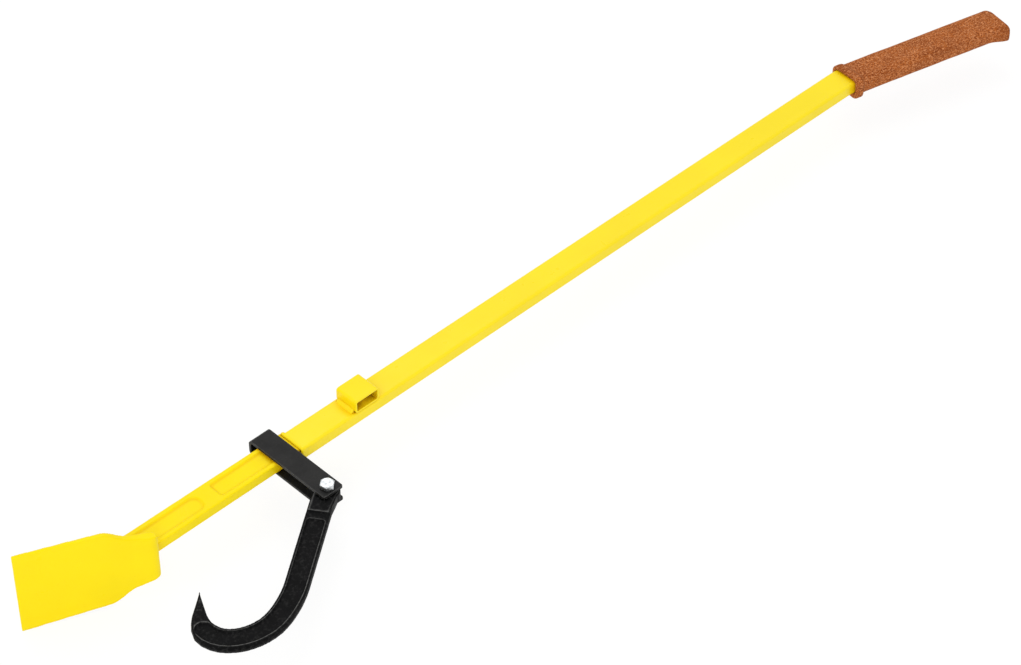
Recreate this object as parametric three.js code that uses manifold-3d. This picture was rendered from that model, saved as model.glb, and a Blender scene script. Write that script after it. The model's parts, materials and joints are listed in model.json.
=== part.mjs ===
// Felling lever with a turning hook, in millimetres, +Z up.
// The lever lies on its side: X runs from the blade to the grip, Z is the axis of the hook's bolt.
import * as THREE from 'three';
import * as BufferGeometryUtils from 'three/addons/utils/BufferGeometryUtils.js';
import Module from 'manifold-3d';

const wasm = await Module();
wasm.setup();

// Clearance left between pieces that touch.
const GAP = 0.3;

// Lever tube, flat on its broad face.
const TUBE_WIDTH = 30;
const TUBE_HEIGHT = 15;
const TUBE_WALL = 2;
const TUBE_CORNER = 3;
const TUBE_START = 20.6;
const BEND_X = 807.6;
const BEND_ANGLE = THREE.MathUtils.degToRad(14);
const BEND_RADIUS = 45;
const GRIP_TUBE_LENGTH = 191;

// Leather sleeve on the bent end.
const SLEEVE_THICKNESS = 2.8;
const SLEEVE_START = 1.5;
const SLEEVE_END = 202.3;
const SLEEVE_CORNER = 5.8;
const SLEEVE_FLARE = 2.3;
const SLEEVE_END_FLARE = 5.4;
const SLEEVE_FLARE_LENGTH = 12;

// Plug in the end of the tube.
const PLUG_DEPTH = 22;
const PLUG_CAP = 3;
const PLUG_WALL = 1.5;
const PLUG_FLOOR = 4;

// Shank forged in one with the blade.
const SHANK_CENTRE_Y = 3.2;
const SHANK_WIDTH = 29.2;
const SHANK_BACK_FLARE = 1;
const SHANK_HEIGHT = 12;
const SHANK_END = 17;
const SHANK_EDGE = 1;
const POCKET_DEPTH = 1.6;
const POCKET_MARGIN = 4.6;
const POCKET_SLOPE = 1.1;
const FIRST_POCKET = [-182, -92];
const SECOND_POCKET = [-75.5, 9];
const FIRST_POCKET_ROUND = 8.4;
const SECOND_POCKET_ROUND = 3.4;

// Root, where the shank widens and fades into the blade's back.
const ROOT_START = -168;
const ROOT_WIDEST = -206;
const ROOT_END = -250;
const ROOT_HALF_AT_START = 5.6;
const ROOT_HALF_AT_WIDEST = 17;
const ROOT_HALF_AT_END = 12;
const ROOT_INSET = 0.6;
const SHANK_HEEL_X = -160.4;
const SHANK_TAIL = [-243, 18.4];

// Blade, as a flat tapered tongue turned out of the lever's line.
const BLADE_CROSSING_X = -204;
const BLADE_ANGLE = THREE.MathUtils.degToRad(22.7);
const BLADE_TIP = 88;
const BLADE_TIP_HALF = 49.5;
const BLADE_SHOULDER = 8;
const BLADE_SHOULDER_HALF = 46.2;
const LOWER_SHOULDER_DROP = 3;
const NECK_START = -22;
const NECK_HALF = 31.8;
const HEEL = -46.5;
const HEEL_HALF = 26.4;
const HEEL_CORNER = 3.5;
const TIP_HALF_THICKNESS = 1.2;
const SHOULDER_HALF_THICKNESS = 2.3;
const NECK_HALF_THICKNESS = 3.1;
const HEEL_HALF_THICKNESS = 4.6;
const HEEL_NOSE = 8;

// Weld between shank and tube.
const WELD_WIDTH = 2.9;
const WELD_PROUD = 0.5;
const WELD_CROWN = 0.9;
const WELD_ROUND = 1.1;

// Short piece of tube welded across the broad face.
const SOCKET_CENTRE_X = 101;
const SOCKET_FRONT_Y = -15;
const SOCKET_BACK_Y = 12.5;
const SOCKET_WELD = 3.6;
const SOCKET_WELD_SHORT = 3;

// Link strap, a flat bar bent round the shank.
const STRAP_WIDTH = 24;
const STRAP_THICKNESS = 3;
const STRAP_GAP = 12.6;
const STRAP_BACK_Y = 29.4;
const STRAP_FRONT_Y = -77.6;
const STRAP_OUTER_BEND = 5;
const STRAP_CORNER = 2.5;

// Pivot of the hook.
const PIVOT_X = 0.8;
const PIVOT_Y = -68.8;
const BOLT_RADIUS = 4;
const STRAP_BORE_RADIUS = 4.3;
const HOOK_BORE_RADIUS = 4.1;
const HEX_ACROSS_FLATS = 13;
const BOLT_HEAD_HEIGHT = 5.3;
const BOLT_END = -19.4;
const NUT_HEIGHT = 6;
const NUT_COLLAR_HEIGHT = 2;
const NUT_COLLAR_RADIUS = 5.9;
const LOCK_RING_RADIUS = 5.3;
const LOCK_RING_HEIGHT = 2.4;
const HEX_TURN = 0.35;
const HEX_CHAMFER = 1.3;

// Hook forging.
const HOOK_ANGLE = THREE.MathUtils.degToRad(215.6);
const HOOK_OFFSET = 2.4;
const HOOK_WIDTH = 24.2;
const HOOK_HEIGHT = 7.8;
const HOOK_DRAFT = 0.8;
const EYE_RADIUS = 12;
const TONGUE_WIDTH = 20.6;
const TONGUE_HEIGHT = 11.8;
const TONGUE_LENGTH = 29;
const TONGUE_EDGE = 0.7;
const HOOK_STRAIGHT_END = [-98.8, -137];
const HOOK_LOWEST = [-148.7, -156];
const HOOK_LEFTMOST = [-193.6, -122.2];
const HOOK_TIP_BASE = [-184.3, -102.4];
const HOOK_TIP = [-165.4, -79.8];
// Lengths of the curves' handles, from the end of the straight arm to the tip.
const HOOK_HANDLES = [12.2, 15.9, 24.4, 19.6, 6.4, 6.4];
const RECESS_START = 37;
const RECESS_RIM = 3.3;
const RECESS_DEPTH = 1.7;
const RECESS_SLOPE = 1.2;
const RECESS_SHORT_OF_TIP = 40;
const TIP_TAPER = 51;
const TIP_THINNING = 26;
const TIP_TAPER_POWER = 1.04;
const TIP_THINNING_POWER = 0.7;
const HOOK_BAND = 0.4;

// Build a closed solid from a three.js geometry.
function toSolid(geometry) {
  const bare = geometry.index ? geometry.toNonIndexed() : geometry.clone();
  bare.deleteAttribute('normal');
  bare.deleteAttribute('uv');
  const welded = BufferGeometryUtils.mergeVertices(bare, 1e-4);
  const mesh = new wasm.Mesh({
    numProp: 3,
    vertProperties: new Float32Array(welded.attributes.position.array),
    triVerts: new Uint32Array(welded.index.array),
  });
  return new wasm.Manifold(mesh);
}

// Turn a solid back into a three.js geometry.
function toGeometry(solid) {
  const mesh = solid.getMesh();
  const geometry = new THREE.BufferGeometry();
  const count = mesh.vertProperties.length / mesh.numProp;
  const positions = new Float32Array(count * 3);
  for (let i = 0; i < count; i += 1) {
    positions[3 * i] = mesh.vertProperties[mesh.numProp * i];
    positions[3 * i + 1] = mesh.vertProperties[mesh.numProp * i + 1];
    positions[3 * i + 2] = mesh.vertProperties[mesh.numProp * i + 2];
  }
  geometry.setAttribute('position', new THREE.BufferAttribute(positions, 3));
  geometry.setIndex(new THREE.BufferAttribute(new Uint32Array(mesh.triVerts), 1));
  return geometry;
}

// Extrude an outline in X and Y by a height centred on z = 0.
function slab(shape, height, edge = 0, curveSegments = 8) {
  const geometry = new THREE.ExtrudeGeometry(shape, {
    depth: height - 2 * edge,
    bevelEnabled: edge > 0,
    bevelThickness: edge,
    bevelSize: edge,
    bevelOffset: -edge,
    bevelSegments: 1,
    curveSegments,
  });
  geometry.translate(0, 0, edge - height / 2);
  return geometry;
}

// Cutter for a shallow pocket whose walls slope outwards, open towards +Z.
function pocketCutter(shape, depth, slope, faceZ) {
  const geometry = new THREE.ExtrudeGeometry(shape, {
    depth: 3,
    bevelEnabled: true,
    bevelThickness: depth,
    bevelSize: slope,
    bevelOffset: -slope,
    bevelSegments: 1,
    curveSegments: 8,
  });
  geometry.translate(0, 0, faceZ);
  return geometry;
}

// The same cutter turned over for the underside.
function turnedOver(geometry) {
  const copy = geometry.clone();
  copy.applyMatrix4(new THREE.Matrix4().makeScale(1, 1, -1));
  const index = copy.index;
  const flipped = index ? copy.toNonIndexed() : copy;
  const position = flipped.attributes.position;
  for (let i = 0; i < position.count; i += 3) {
    const first = new THREE.Vector3().fromBufferAttribute(position, i + 1);
    const second = new THREE.Vector3().fromBufferAttribute(position, i + 2);
    position.setXYZ(i + 1, second.x, second.y, second.z);
    position.setXYZ(i + 2, first.x, first.y, first.z);
  }
  return flipped;
}

// Rectangle with round corners about its centre, as a shape or as a hole path.
function roundedRectangle(path, width, height, radius) {
  const x = width / 2;
  const y = height / 2;
  path.moveTo(x, -y + radius);
  path.lineTo(x, y - radius);
  path.absarc(x - radius, y - radius, radius, 0, Math.PI / 2);
  path.lineTo(-x + radius, y);
  path.absarc(-x + radius, y - radius, radius, Math.PI / 2, Math.PI);
  path.lineTo(-x, -y + radius);
  path.absarc(-x + radius, -y + radius, radius, Math.PI, 1.5 * Math.PI);
  path.lineTo(x - radius, -y);
  path.absarc(x - radius, -y + radius, radius, 1.5 * Math.PI, 2 * Math.PI);
  path.closePath();
  return path;
}

// Points of a rounded rectangle, anticlockwise and without doubles.
function rectangleRing(width, height, radius, segments) {
  const ring = [];
  const centres = [[1, 1], [-1, 1], [-1, -1], [1, -1]];
  centres.forEach(([sx, sy], corner) => {
    for (let i = 0; i <= segments; i += 1) {
      const angle = (corner + i / segments) * (Math.PI / 2);
      const x = sx * (width / 2 - radius) + radius * Math.cos(angle);
      const y = sy * (height / 2 - radius) + radius * Math.sin(angle);
      ring.push(new THREE.Vector2(x, y));
    }
  });
  return ring;
}

// Point and heading on the lever's axis at a length along it, measured from the bend's corner.
function leverAxis(length) {
  const reach = BEND_RADIUS * Math.tan(BEND_ANGLE / 2);
  if (length <= -reach) {
    return { x: BEND_X + length, y: 0, heading: 0 };
  }
  if (length >= reach) {
    const x = BEND_X + length * Math.cos(BEND_ANGLE);
    const y = -length * Math.sin(BEND_ANGLE);
    return { x, y, heading: -BEND_ANGLE };
  }
  const turned = ((length + reach) / (2 * reach)) * BEND_ANGLE;
  const x = BEND_X - reach + BEND_RADIUS * Math.sin(turned);
  const y = -BEND_RADIUS * (1 - Math.cos(turned));
  return { x, y, heading: -turned };
}

// Loft a hollow or solid bar through rings set square to the lever's axis.
function loft(stations) {
  const positions = [];
  const place = (station, point) => {
    const axis = leverAxis(station.length);
    const x = axis.x - point.x * Math.sin(axis.heading);
    const y = axis.y + point.x * Math.cos(axis.heading);
    return new THREE.Vector3(x, y, point.y);
  };
  const quad = (a, b, c, d) => {
    [a, b, c, a, c, d].forEach((v) => positions.push(v.x, v.y, v.z));
  };
  const skin = (key, outward) => {
    for (let i = 0; i + 1 < stations.length; i += 1) {
      const near = stations[i][key].map((p) => place(stations[i], p));
      const far = stations[i + 1][key].map((p) => place(stations[i + 1], p));
      near.forEach((point, k) => {
        const next = (k + 1) % near.length;
        if (outward) {
          quad(point, near[next], far[next], far[k]);
        } else {
          quad(point, far[k], far[next], near[next]);
        }
      });
    }
  };
  const cap = (station, facingBack) => {
    const outer = station.outer.map((p) => place(station, p));
    const inner = station.inner.map((p) => place(station, p));
    outer.forEach((point, k) => {
      const next = (k + 1) % outer.length;
      if (facingBack) {
        quad(point, inner[k], inner[next], outer[next]);
      } else {
        quad(point, outer[next], inner[next], inner[k]);
      }
    });
  };
  skin('outer', true);
  skin('inner', false);
  cap(stations[0], true);
  cap(stations[stations.length - 1], false);
  const geometry = new THREE.BufferGeometry();
  geometry.setAttribute('position', new THREE.Float32BufferAttribute(positions, 3));
  return BufferGeometryUtils.mergeVertices(geometry, 1e-5);
}

// Lengths at which the bent tube gets a ring.
function tubeLengths(start, end) {
  const reach = BEND_RADIUS * Math.tan(BEND_ANGLE / 2);
  const lengths = [start];
  for (let i = 0; i <= 6; i += 1) {
    const length = -reach + (i / 6) * 2 * reach;
    if (length > start && length < end) {
      lengths.push(length);
    }
  }
  lengths.push(end);
  return lengths;
}

function leverTube() {
  const outer = rectangleRing(TUBE_WIDTH, TUBE_HEIGHT, TUBE_CORNER, 4);
  const boreWidth = TUBE_WIDTH - 2 * TUBE_WALL;
  const boreHeight = TUBE_HEIGHT - 2 * TUBE_WALL;
  const inner = rectangleRing(boreWidth, boreHeight, TUBE_CORNER - TUBE_WALL, 4);
  const lengths = tubeLengths(TUBE_START - BEND_X, GRIP_TUBE_LENGTH);
  return loft(lengths.map((length) => ({ length, outer, inner })));
}

// How far a lip of the sleeve has turned out, from 0 on the body to 1 at the rim.
function lipShare(fromEnd) {
  if (fromEnd >= SLEEVE_FLARE_LENGTH) {
    return 0;
  }
  return Math.sin(((1 - fromEnd / SLEEVE_FLARE_LENGTH) * Math.PI) / 1.7);
}

// Ring of the sleeve: the near lip turns out all round, the far lip only on the hook's side.
function sleeveRing(width, height, radius, length) {
  const near = SLEEVE_FLARE * lipShare(length - SLEEVE_START);
  const far = SLEEVE_END_FLARE * lipShare(SLEEVE_END - length);
  const ring = rectangleRing(width + 2 * near, height + 2 * near, radius, 5);
  return ring.map((point) => {
    const toHook = Math.min(1, Math.max(0, 0.5 - point.x / width));
    return new THREE.Vector2(point.x - far * toHook * toHook, point.y * (1 + 0.02 * far * toHook));
  });
}

function leatherSleeve() {
  const bodyStart = SLEEVE_START + SLEEVE_FLARE_LENGTH;
  const bodyEnd = SLEEVE_END - SLEEVE_FLARE_LENGTH;
  const nearLip = steps(SLEEVE_START, bodyStart, 6);
  const body = steps(bodyStart, bodyEnd, 4).slice(1);
  const farLip = steps(bodyEnd, SLEEVE_END, 5).slice(1);
  const lengths = nearLip.concat(body, farLip);
  const skin = 2 * (SLEEVE_THICKNESS + GAP);
  const stations = lengths.map((length) => ({
    length,
    outer: sleeveRing(TUBE_WIDTH + skin, TUBE_HEIGHT + skin, SLEEVE_CORNER, length),
    inner: sleeveRing(TUBE_WIDTH + 2 * GAP, TUBE_HEIGHT + 2 * GAP, TUBE_CORNER + GAP, length),
  }));
  return loft(stations);
}

// Hollow plug with a cap that covers the cut end of the tube.
function tubeEndPlug() {
  const body = new THREE.Shape();
  const play = 2 * (TUBE_WALL + GAP);
  roundedRectangle(body, TUBE_WIDTH - play, TUBE_HEIGHT - play, 1.2);
  const plain = { depth: PLUG_DEPTH, bevelEnabled: false, curveSegments: 3 };
  const core = new THREE.ExtrudeGeometry(body, plain);
  const cap = new THREE.Shape();
  roundedRectangle(cap, TUBE_WIDTH - 0.4, TUBE_HEIGHT - 0.4, TUBE_CORNER);
  const head = new THREE.ExtrudeGeometry(cap, {
    depth: PLUG_CAP - 1,
    bevelEnabled: true,
    bevelThickness: 0.5,
    bevelSize: 0.5,
    bevelOffset: -0.5,
    bevelSegments: 1,
    curveSegments: 3,
  });
  head.translate(0, 0, PLUG_DEPTH + 0.4);
  const hollow = new THREE.Shape();
  const wall = play + 2 * PLUG_WALL;
  roundedRectangle(hollow, TUBE_WIDTH - wall, TUBE_HEIGHT - wall, 0.8);
  const open = { depth: PLUG_DEPTH - PLUG_FLOOR, bevelEnabled: false, curveSegments: 2 };
  const bore = new THREE.ExtrudeGeometry(hollow, open);
  bore.translate(0, 0, -1);
  const solid = toSolid(core).add(toSolid(head)).subtract(toSolid(bore));
  const geometry = toGeometry(solid);
  // The plug is drawn along its own axis, then turned onto the grip's axis.
  const grip = leverAxis(GRIP_TUBE_LENGTH + GAP - PLUG_DEPTH);
  const ahead = new THREE.Vector3(Math.cos(grip.heading), Math.sin(grip.heading), 0);
  const up = new THREE.Vector3(0, 0, 1);
  const side = new THREE.Vector3().crossVectors(up, ahead);
  const turn = new THREE.Matrix4().makeBasis(side, up, ahead);
  geometry.applyMatrix4(turn.setPosition(grip.x, grip.y, 0));
  return geometry;
}

// Turn blade lengths and offsets into X and Y of the lever.
function bladeFrame() {
  const along = new THREE.Vector3(-Math.cos(BLADE_ANGLE), Math.sin(BLADE_ANGLE), 0);
  const up = new THREE.Vector3(0, 0, 1);
  const across = new THREE.Vector3().crossVectors(along, up);
  return new THREE.Matrix4().makeBasis(along, up, across).setPosition(BLADE_CROSSING_X, 0, 0);
}

// Outline of the blade, seen square on: wide tongue, round shoulders, narrow neck, heel.
// The lower shoulder sits nearer to the heel than the upper one.
function bladeOutline() {
  const outline = new THREE.Shape();
  outline.moveTo(BLADE_TIP, -BLADE_TIP_HALF);
  outline.lineTo(BLADE_TIP, BLADE_TIP_HALF);
  outline.lineTo(BLADE_SHOULDER, BLADE_SHOULDER_HALF);
  outline.bezierCurveTo(
    BLADE_SHOULDER - 12.5, BLADE_SHOULDER_HALF - 0.5,
    NECK_START + 13, NECK_HALF + 2.8,
    NECK_START, NECK_HALF,
  );
  outline.lineTo(HEEL + HEEL_CORNER, HEEL_HALF + 0.6);
  outline.quadraticCurveTo(HEEL, HEEL_HALF, HEEL, HEEL_HALF - HEEL_CORNER);
  outline.lineTo(HEEL, -HEEL_HALF + HEEL_CORNER);
  outline.quadraticCurveTo(HEEL, -HEEL_HALF, HEEL + HEEL_CORNER, -HEEL_HALF - 0.6);
  const lowerNeck = NECK_START - LOWER_SHOULDER_DROP;
  const lowerShoulder = BLADE_SHOULDER - LOWER_SHOULDER_DROP;
  outline.lineTo(lowerNeck, -NECK_HALF);
  outline.bezierCurveTo(
    lowerNeck + 13, -NECK_HALF - 2.8,
    lowerShoulder - 12.5, -BLADE_SHOULDER_HALF + 0.5,
    lowerShoulder, -BLADE_SHOULDER_HALF,
  );
  outline.lineTo(BLADE_TIP, -BLADE_TIP_HALF);
  return outline;
}

// Thickness of the blade along its length, seen on edge, with the round nose of the heel.
function bladeProfile() {
  const profile = new THREE.Shape();
  const noseCentre = HEEL + HEEL_NOSE;
  profile.moveTo(BLADE_TIP + 1, TIP_HALF_THICKNESS);
  profile.lineTo(BLADE_SHOULDER, SHOULDER_HALF_THICKNESS);
  profile.lineTo(NECK_START, NECK_HALF_THICKNESS);
  profile.lineTo(noseCentre, HEEL_HALF_THICKNESS);
  const nose = HEEL_HALF_THICKNESS;
  profile.absellipse(noseCentre, 0, HEEL_NOSE, nose, Math.PI / 2, 1.5 * Math.PI, false, 0);
  profile.lineTo(NECK_START, -NECK_HALF_THICKNESS);
  profile.lineTo(BLADE_SHOULDER, -SHOULDER_HALF_THICKNESS);
  profile.lineTo(BLADE_TIP + 1, -TIP_HALF_THICKNESS);
  profile.closePath();
  return profile;
}

function bladeTongue() {
  const plate = toSolid(slab(bladeOutline(), 40, 0, 10));
  const wide = { depth: 140, bevelEnabled: false, curveSegments: 12 };
  const wedge = new THREE.ExtrudeGeometry(bladeProfile(), wide);
  wedge.translate(0, 0, -wide.depth / 2);
  wedge.rotateX(-Math.PI / 2);
  const tongue = toGeometry(plate.intersect(toSolid(wedge)));
  tongue.applyMatrix4(bladeFrame());
  return toSolid(tongue);
}

// Plan of the shank, running on behind the blade and fading into it.
function shankPlan(inset) {
  const front = SHANK_CENTRE_Y - SHANK_WIDTH / 2 + inset;
  const back = SHANK_CENTRE_Y + SHANK_WIDTH / 2 - inset;
  const plan = new THREE.Shape();
  plan.moveTo(SHANK_END - inset, front);
  plan.lineTo(SHANK_END - inset, back);
  const [tailX, tailY] = SHANK_TAIL;
  const flared = back + SHANK_BACK_FLARE;
  plan.lineTo(ROOT_WIDEST, flared);
  plan.bezierCurveTo(ROOT_WIDEST - 14, flared, tailX + 11, tailY - 2, tailX, tailY);
  plan.lineTo(tailX, tailY - 3.2);
  plan.lineTo(SHANK_HEEL_X - 4.1, -15.8);
  plan.lineTo(SHANK_HEEL_X, front);
  plan.closePath();
  return plan;
}

// Side view of the root, where the shank widens onto the blade's back.
function rootOutline() {
  const outline = new THREE.Shape();
  const start = ROOT_START;
  const middle = ROOT_WIDEST;
  const end = ROOT_END;
  const narrow = ROOT_HALF_AT_START;
  const wide = ROOT_HALF_AT_WIDEST;
  const far = ROOT_HALF_AT_END;
  outline.moveTo(start, -narrow);
  outline.lineTo(start, narrow);
  outline.bezierCurveTo(start - 18, narrow + 1.4, middle + 10, wide - 5, middle, wide);
  outline.bezierCurveTo(middle - 14, wide + 5, end + 14, far + 9, end, far);
  outline.lineTo(end, -far);
  outline.bezierCurveTo(end + 14, -far - 9, middle - 14, -wide - 5, middle, -wide);
  outline.bezierCurveTo(middle + 10, -wide + 5, start - 18, -narrow - 1.4, start, -narrow);
  return outline;
}

function shankRoot() {
  const plan = toSolid(slab(shankPlan(ROOT_INSET), 60, 0, 8));
  const deep = { depth: 80, bevelEnabled: false, curveSegments: 6 };
  const side = new THREE.ExtrudeGeometry(rootOutline(), deep);
  side.translate(0, 0, -deep.depth / 2);
  side.rotateX(Math.PI / 2);
  return plan.intersect(toSolid(side));
}

// Sunk panel of the shank's broad faces.
function shankPocket(ends, roundEnd) {
  const back = SHANK_CENTRE_Y + SHANK_WIDTH / 2 - POCKET_MARGIN;
  const front = SHANK_CENTRE_Y - SHANK_WIDTH / 2 + POCKET_MARGIN;
  const shape = new THREE.Shape();
  roundedRectangle(shape, ends[1] - ends[0], back - front, roundEnd);
  const cutter = pocketCutter(shape, POCKET_DEPTH, POCKET_SLOPE, SHANK_HEIGHT / 2);
  cutter.translate((ends[0] + ends[1]) / 2, (back + front) / 2, 0);
  return cutter;
}

function bladeForging() {
  const shank = toSolid(slab(shankPlan(0), SHANK_HEIGHT, SHANK_EDGE, 8));
  const first = shankPocket(FIRST_POCKET, FIRST_POCKET_ROUND);
  const second = shankPocket(SECOND_POCKET, SECOND_POCKET_ROUND);
  let forging = bladeTongue().add(shank);
  forging = forging.subtract(toSolid(first)).subtract(toSolid(turnedOver(first)));
  forging = forging.subtract(toSolid(second)).subtract(toSolid(turnedOver(second)));
  return toGeometry(forging.add(shankRoot()).add(bladeTongue()));
}

// Bead that joins the shank to the tube, a little proud of the tube and level with the shank's back.
function buttWeld() {
  const shape = new THREE.Shape();
  const front = -TUBE_WIDTH / 2 - WELD_PROUD;
  const back = SHANK_CENTRE_Y + SHANK_WIDTH / 2;
  const width = back - front;
  const height = TUBE_HEIGHT + 2 * WELD_PROUD;
  roundedRectangle(shape, width, height, TUBE_CORNER + WELD_PROUD);
  const bead = new THREE.ExtrudeGeometry(shape, {
    depth: WELD_CROWN,
    bevelEnabled: true,
    bevelThickness: (WELD_WIDTH - WELD_CROWN) / 2,
    bevelSize: WELD_ROUND,
    bevelOffset: -WELD_ROUND,
    bevelSegments: 3,
    curveSegments: 5,
  });
  bead.translate(0, 0, (WELD_WIDTH - WELD_CROWN) / 2);
  bead.rotateZ(Math.PI / 2);
  bead.rotateY(Math.PI / 2);
  bead.translate(SHANK_END + GAP, (front + back) / 2, 0);
  return toGeometry(toSolid(bead));
}

// Height of the socket's middle above the lever's axis.
function socketCentreZ() {
  return TUBE_HEIGHT + GAP;
}

function stopSocket() {
  const shape = new THREE.Shape();
  roundedRectangle(shape, TUBE_WIDTH, TUBE_HEIGHT, TUBE_CORNER);
  const bore = new THREE.Path();
  const boreWidth = TUBE_WIDTH - 2 * TUBE_WALL;
  const boreHeight = TUBE_HEIGHT - 2 * TUBE_WALL;
  roundedRectangle(bore, boreWidth, boreHeight, TUBE_CORNER - TUBE_WALL);
  shape.holes.push(bore);
  const length = SOCKET_BACK_Y - SOCKET_FRONT_Y;
  const straight = { depth: length, bevelEnabled: false, curveSegments: 5 };
  const piece = new THREE.ExtrudeGeometry(shape, straight);
  piece.rotateX(Math.PI / 2);
  piece.translate(SOCKET_CENTRE_X, SOCKET_BACK_Y, socketCentreZ());
  return toGeometry(toSolid(piece));
}

// Fillet bead along one foot of the socket; side is -1 towards the blade, +1 towards the grip.
function socketWeld(side) {
  const foot = TUBE_HEIGHT / 2 + GAP;
  const edge = SOCKET_CENTRE_X + side * (TUBE_WIDTH / 2 + GAP);
  const shape = new THREE.Shape();
  shape.moveTo(0, 0);
  shape.lineTo(SOCKET_WELD, 0);
  shape.quadraticCurveTo(1.2, 1.4, 0, SOCKET_WELD + 1);
  shape.closePath();
  const length = SOCKET_BACK_Y - SOCKET_FRONT_Y - SOCKET_WELD_SHORT;
  const straight = { depth: length, bevelEnabled: false, curveSegments: 5 };
  const bead = new THREE.ExtrudeGeometry(shape, straight);
  bead.rotateX(Math.PI / 2);
  bead.translate(0, (SOCKET_FRONT_Y + SOCKET_BACK_Y) / 2 + length / 2, foot);
  if (side < 0) {
    bead.rotateZ(Math.PI);
    bead.translate(0, SOCKET_FRONT_Y + SOCKET_BACK_Y, 0);
  }
  bead.translate(edge, 0, 0);
  return toGeometry(toSolid(bead));
}

// Profile of the strap in Y and height: two legs and a square bend behind the shank.
function strapProfile() {
  const outer = STRAP_GAP / 2 + STRAP_THICKNESS;
  const inner = STRAP_GAP / 2;
  const bend = STRAP_OUTER_BEND;
  const insideBend = bend - STRAP_THICKNESS;
  const innerBack = STRAP_BACK_Y - STRAP_THICKNESS;
  const profile = new THREE.Shape();
  profile.moveTo(STRAP_FRONT_Y, outer);
  profile.lineTo(STRAP_FRONT_Y, inner);
  profile.lineTo(innerBack - insideBend, inner);
  profile.absarc(innerBack - insideBend, inner - insideBend, insideBend, Math.PI / 2, 0, true);
  profile.lineTo(innerBack, -inner + insideBend);
  profile.absarc(innerBack - insideBend, -inner + insideBend, insideBend, 0, -Math.PI / 2, true);
  profile.lineTo(STRAP_FRONT_Y, -inner);
  profile.lineTo(STRAP_FRONT_Y, -outer);
  profile.lineTo(STRAP_BACK_Y - bend, -outer);
  profile.absarc(STRAP_BACK_Y - bend, -outer + bend, bend, -Math.PI / 2, 0);
  profile.lineTo(STRAP_BACK_Y, outer - bend);
  profile.absarc(STRAP_BACK_Y - bend, outer - bend, bend, 0, Math.PI / 2);
  profile.closePath();
  return profile;
}

// Plan of the strap, with small round corners at the ends of the legs.
function strapPlan() {
  const half = STRAP_WIDTH / 2;
  const front = STRAP_FRONT_Y;
  const plan = new THREE.Shape();
  plan.moveTo(half, front + STRAP_CORNER);
  plan.lineTo(half, STRAP_BACK_Y + 5);
  plan.lineTo(-half, STRAP_BACK_Y + 5);
  plan.lineTo(-half, front + STRAP_CORNER);
  plan.quadraticCurveTo(-half, front, -half + STRAP_CORNER, front);
  plan.lineTo(half - STRAP_CORNER, front);
  plan.quadraticCurveTo(half, front, half, front + STRAP_CORNER);
  const hole = new THREE.Path();
  hole.absarc(0, PIVOT_Y, STRAP_BORE_RADIUS, 0, 2 * Math.PI);
  plan.holes.push(hole);
  return plan;
}

function linkStrap() {
  const profile = new THREE.ExtrudeGeometry(strapProfile(), {
    depth: STRAP_WIDTH + 2,
    bevelEnabled: false,
    curveSegments: 6,
  });
  profile.translate(0, 0, -STRAP_WIDTH / 2 - 1);
  // The profile is drawn with Y along the first axis, so it is turned upright about X and Z.
  profile.applyMatrix4(new THREE.Matrix4().makeBasis(
    new THREE.Vector3(0, 1, 0),
    new THREE.Vector3(0, 0, 1),
    new THREE.Vector3(1, 0, 0),
  ));
  const plan = slab(strapPlan(), 40, 0, 10);
  const strap = toGeometry(toSolid(profile).intersect(toSolid(plan)));
  strap.translate(PIVOT_X, 0, 0);
  return strap;
}

// Six-sided prism standing on z = 0.
function hexPrism(acrossFlats, height) {
  const shape = new THREE.Shape();
  const radius = acrossFlats / Math.sqrt(3);
  for (let i = 0; i < 6; i += 1) {
    const angle = (i / 6) * 2 * Math.PI + HEX_TURN;
    if (i === 0) {
      shape.moveTo(radius * Math.cos(angle), radius * Math.sin(angle));
    } else {
      shape.lineTo(radius * Math.cos(angle), radius * Math.sin(angle));
    }
  }
  shape.closePath();
  return new THREE.ExtrudeGeometry(shape, { depth: height, bevelEnabled: false });
}

// Turned body from a list of radius and height corners that starts and ends on the axis.
function turned(corners, segments) {
  const points = corners.map(([radius, height]) => new THREE.Vector2(radius, height));
  const body = new THREE.LatheGeometry(points, segments);
  body.rotateX(Math.PI / 2);
  return body;
}

// Plain round cutter on the pivot's own axis between two heights.
function roundCutter(radius, low, high) {
  return turned([[0, low], [radius, low], [radius, high], [0, high]], 32);
}

function pivotBolt() {
  const seat = STRAP_GAP / 2 + STRAP_THICKNESS + GAP;
  const top = seat + BOLT_HEAD_HEIGHT;
  const hex = hexPrism(HEX_ACROSS_FLATS, BOLT_HEAD_HEIGHT);
  hex.translate(0, 0, seat);
  const rim = 0.47 * HEX_ACROSS_FLATS;
  const outside = 9;
  const rounded = turned([
    [0, seat - 1],
    [outside, seat - 1],
    [outside, top - HEX_CHAMFER],
    [rim, top + 0.001],
    [0, top],
  ], 36);
  const shankEdge = 0.8;
  const shank = turned([
    [0, BOLT_END],
    [BOLT_RADIUS - shankEdge, BOLT_END],
    [BOLT_RADIUS, BOLT_END + shankEdge],
    [BOLT_RADIUS, seat + 1],
    [0, seat + 1],
  ], 32);
  const bolt = toSolid(hex).intersect(toSolid(rounded)).add(toSolid(shank));
  const geometry = toGeometry(bolt);
  geometry.translate(PIVOT_X, PIVOT_Y, 0);
  return geometry;
}

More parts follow.
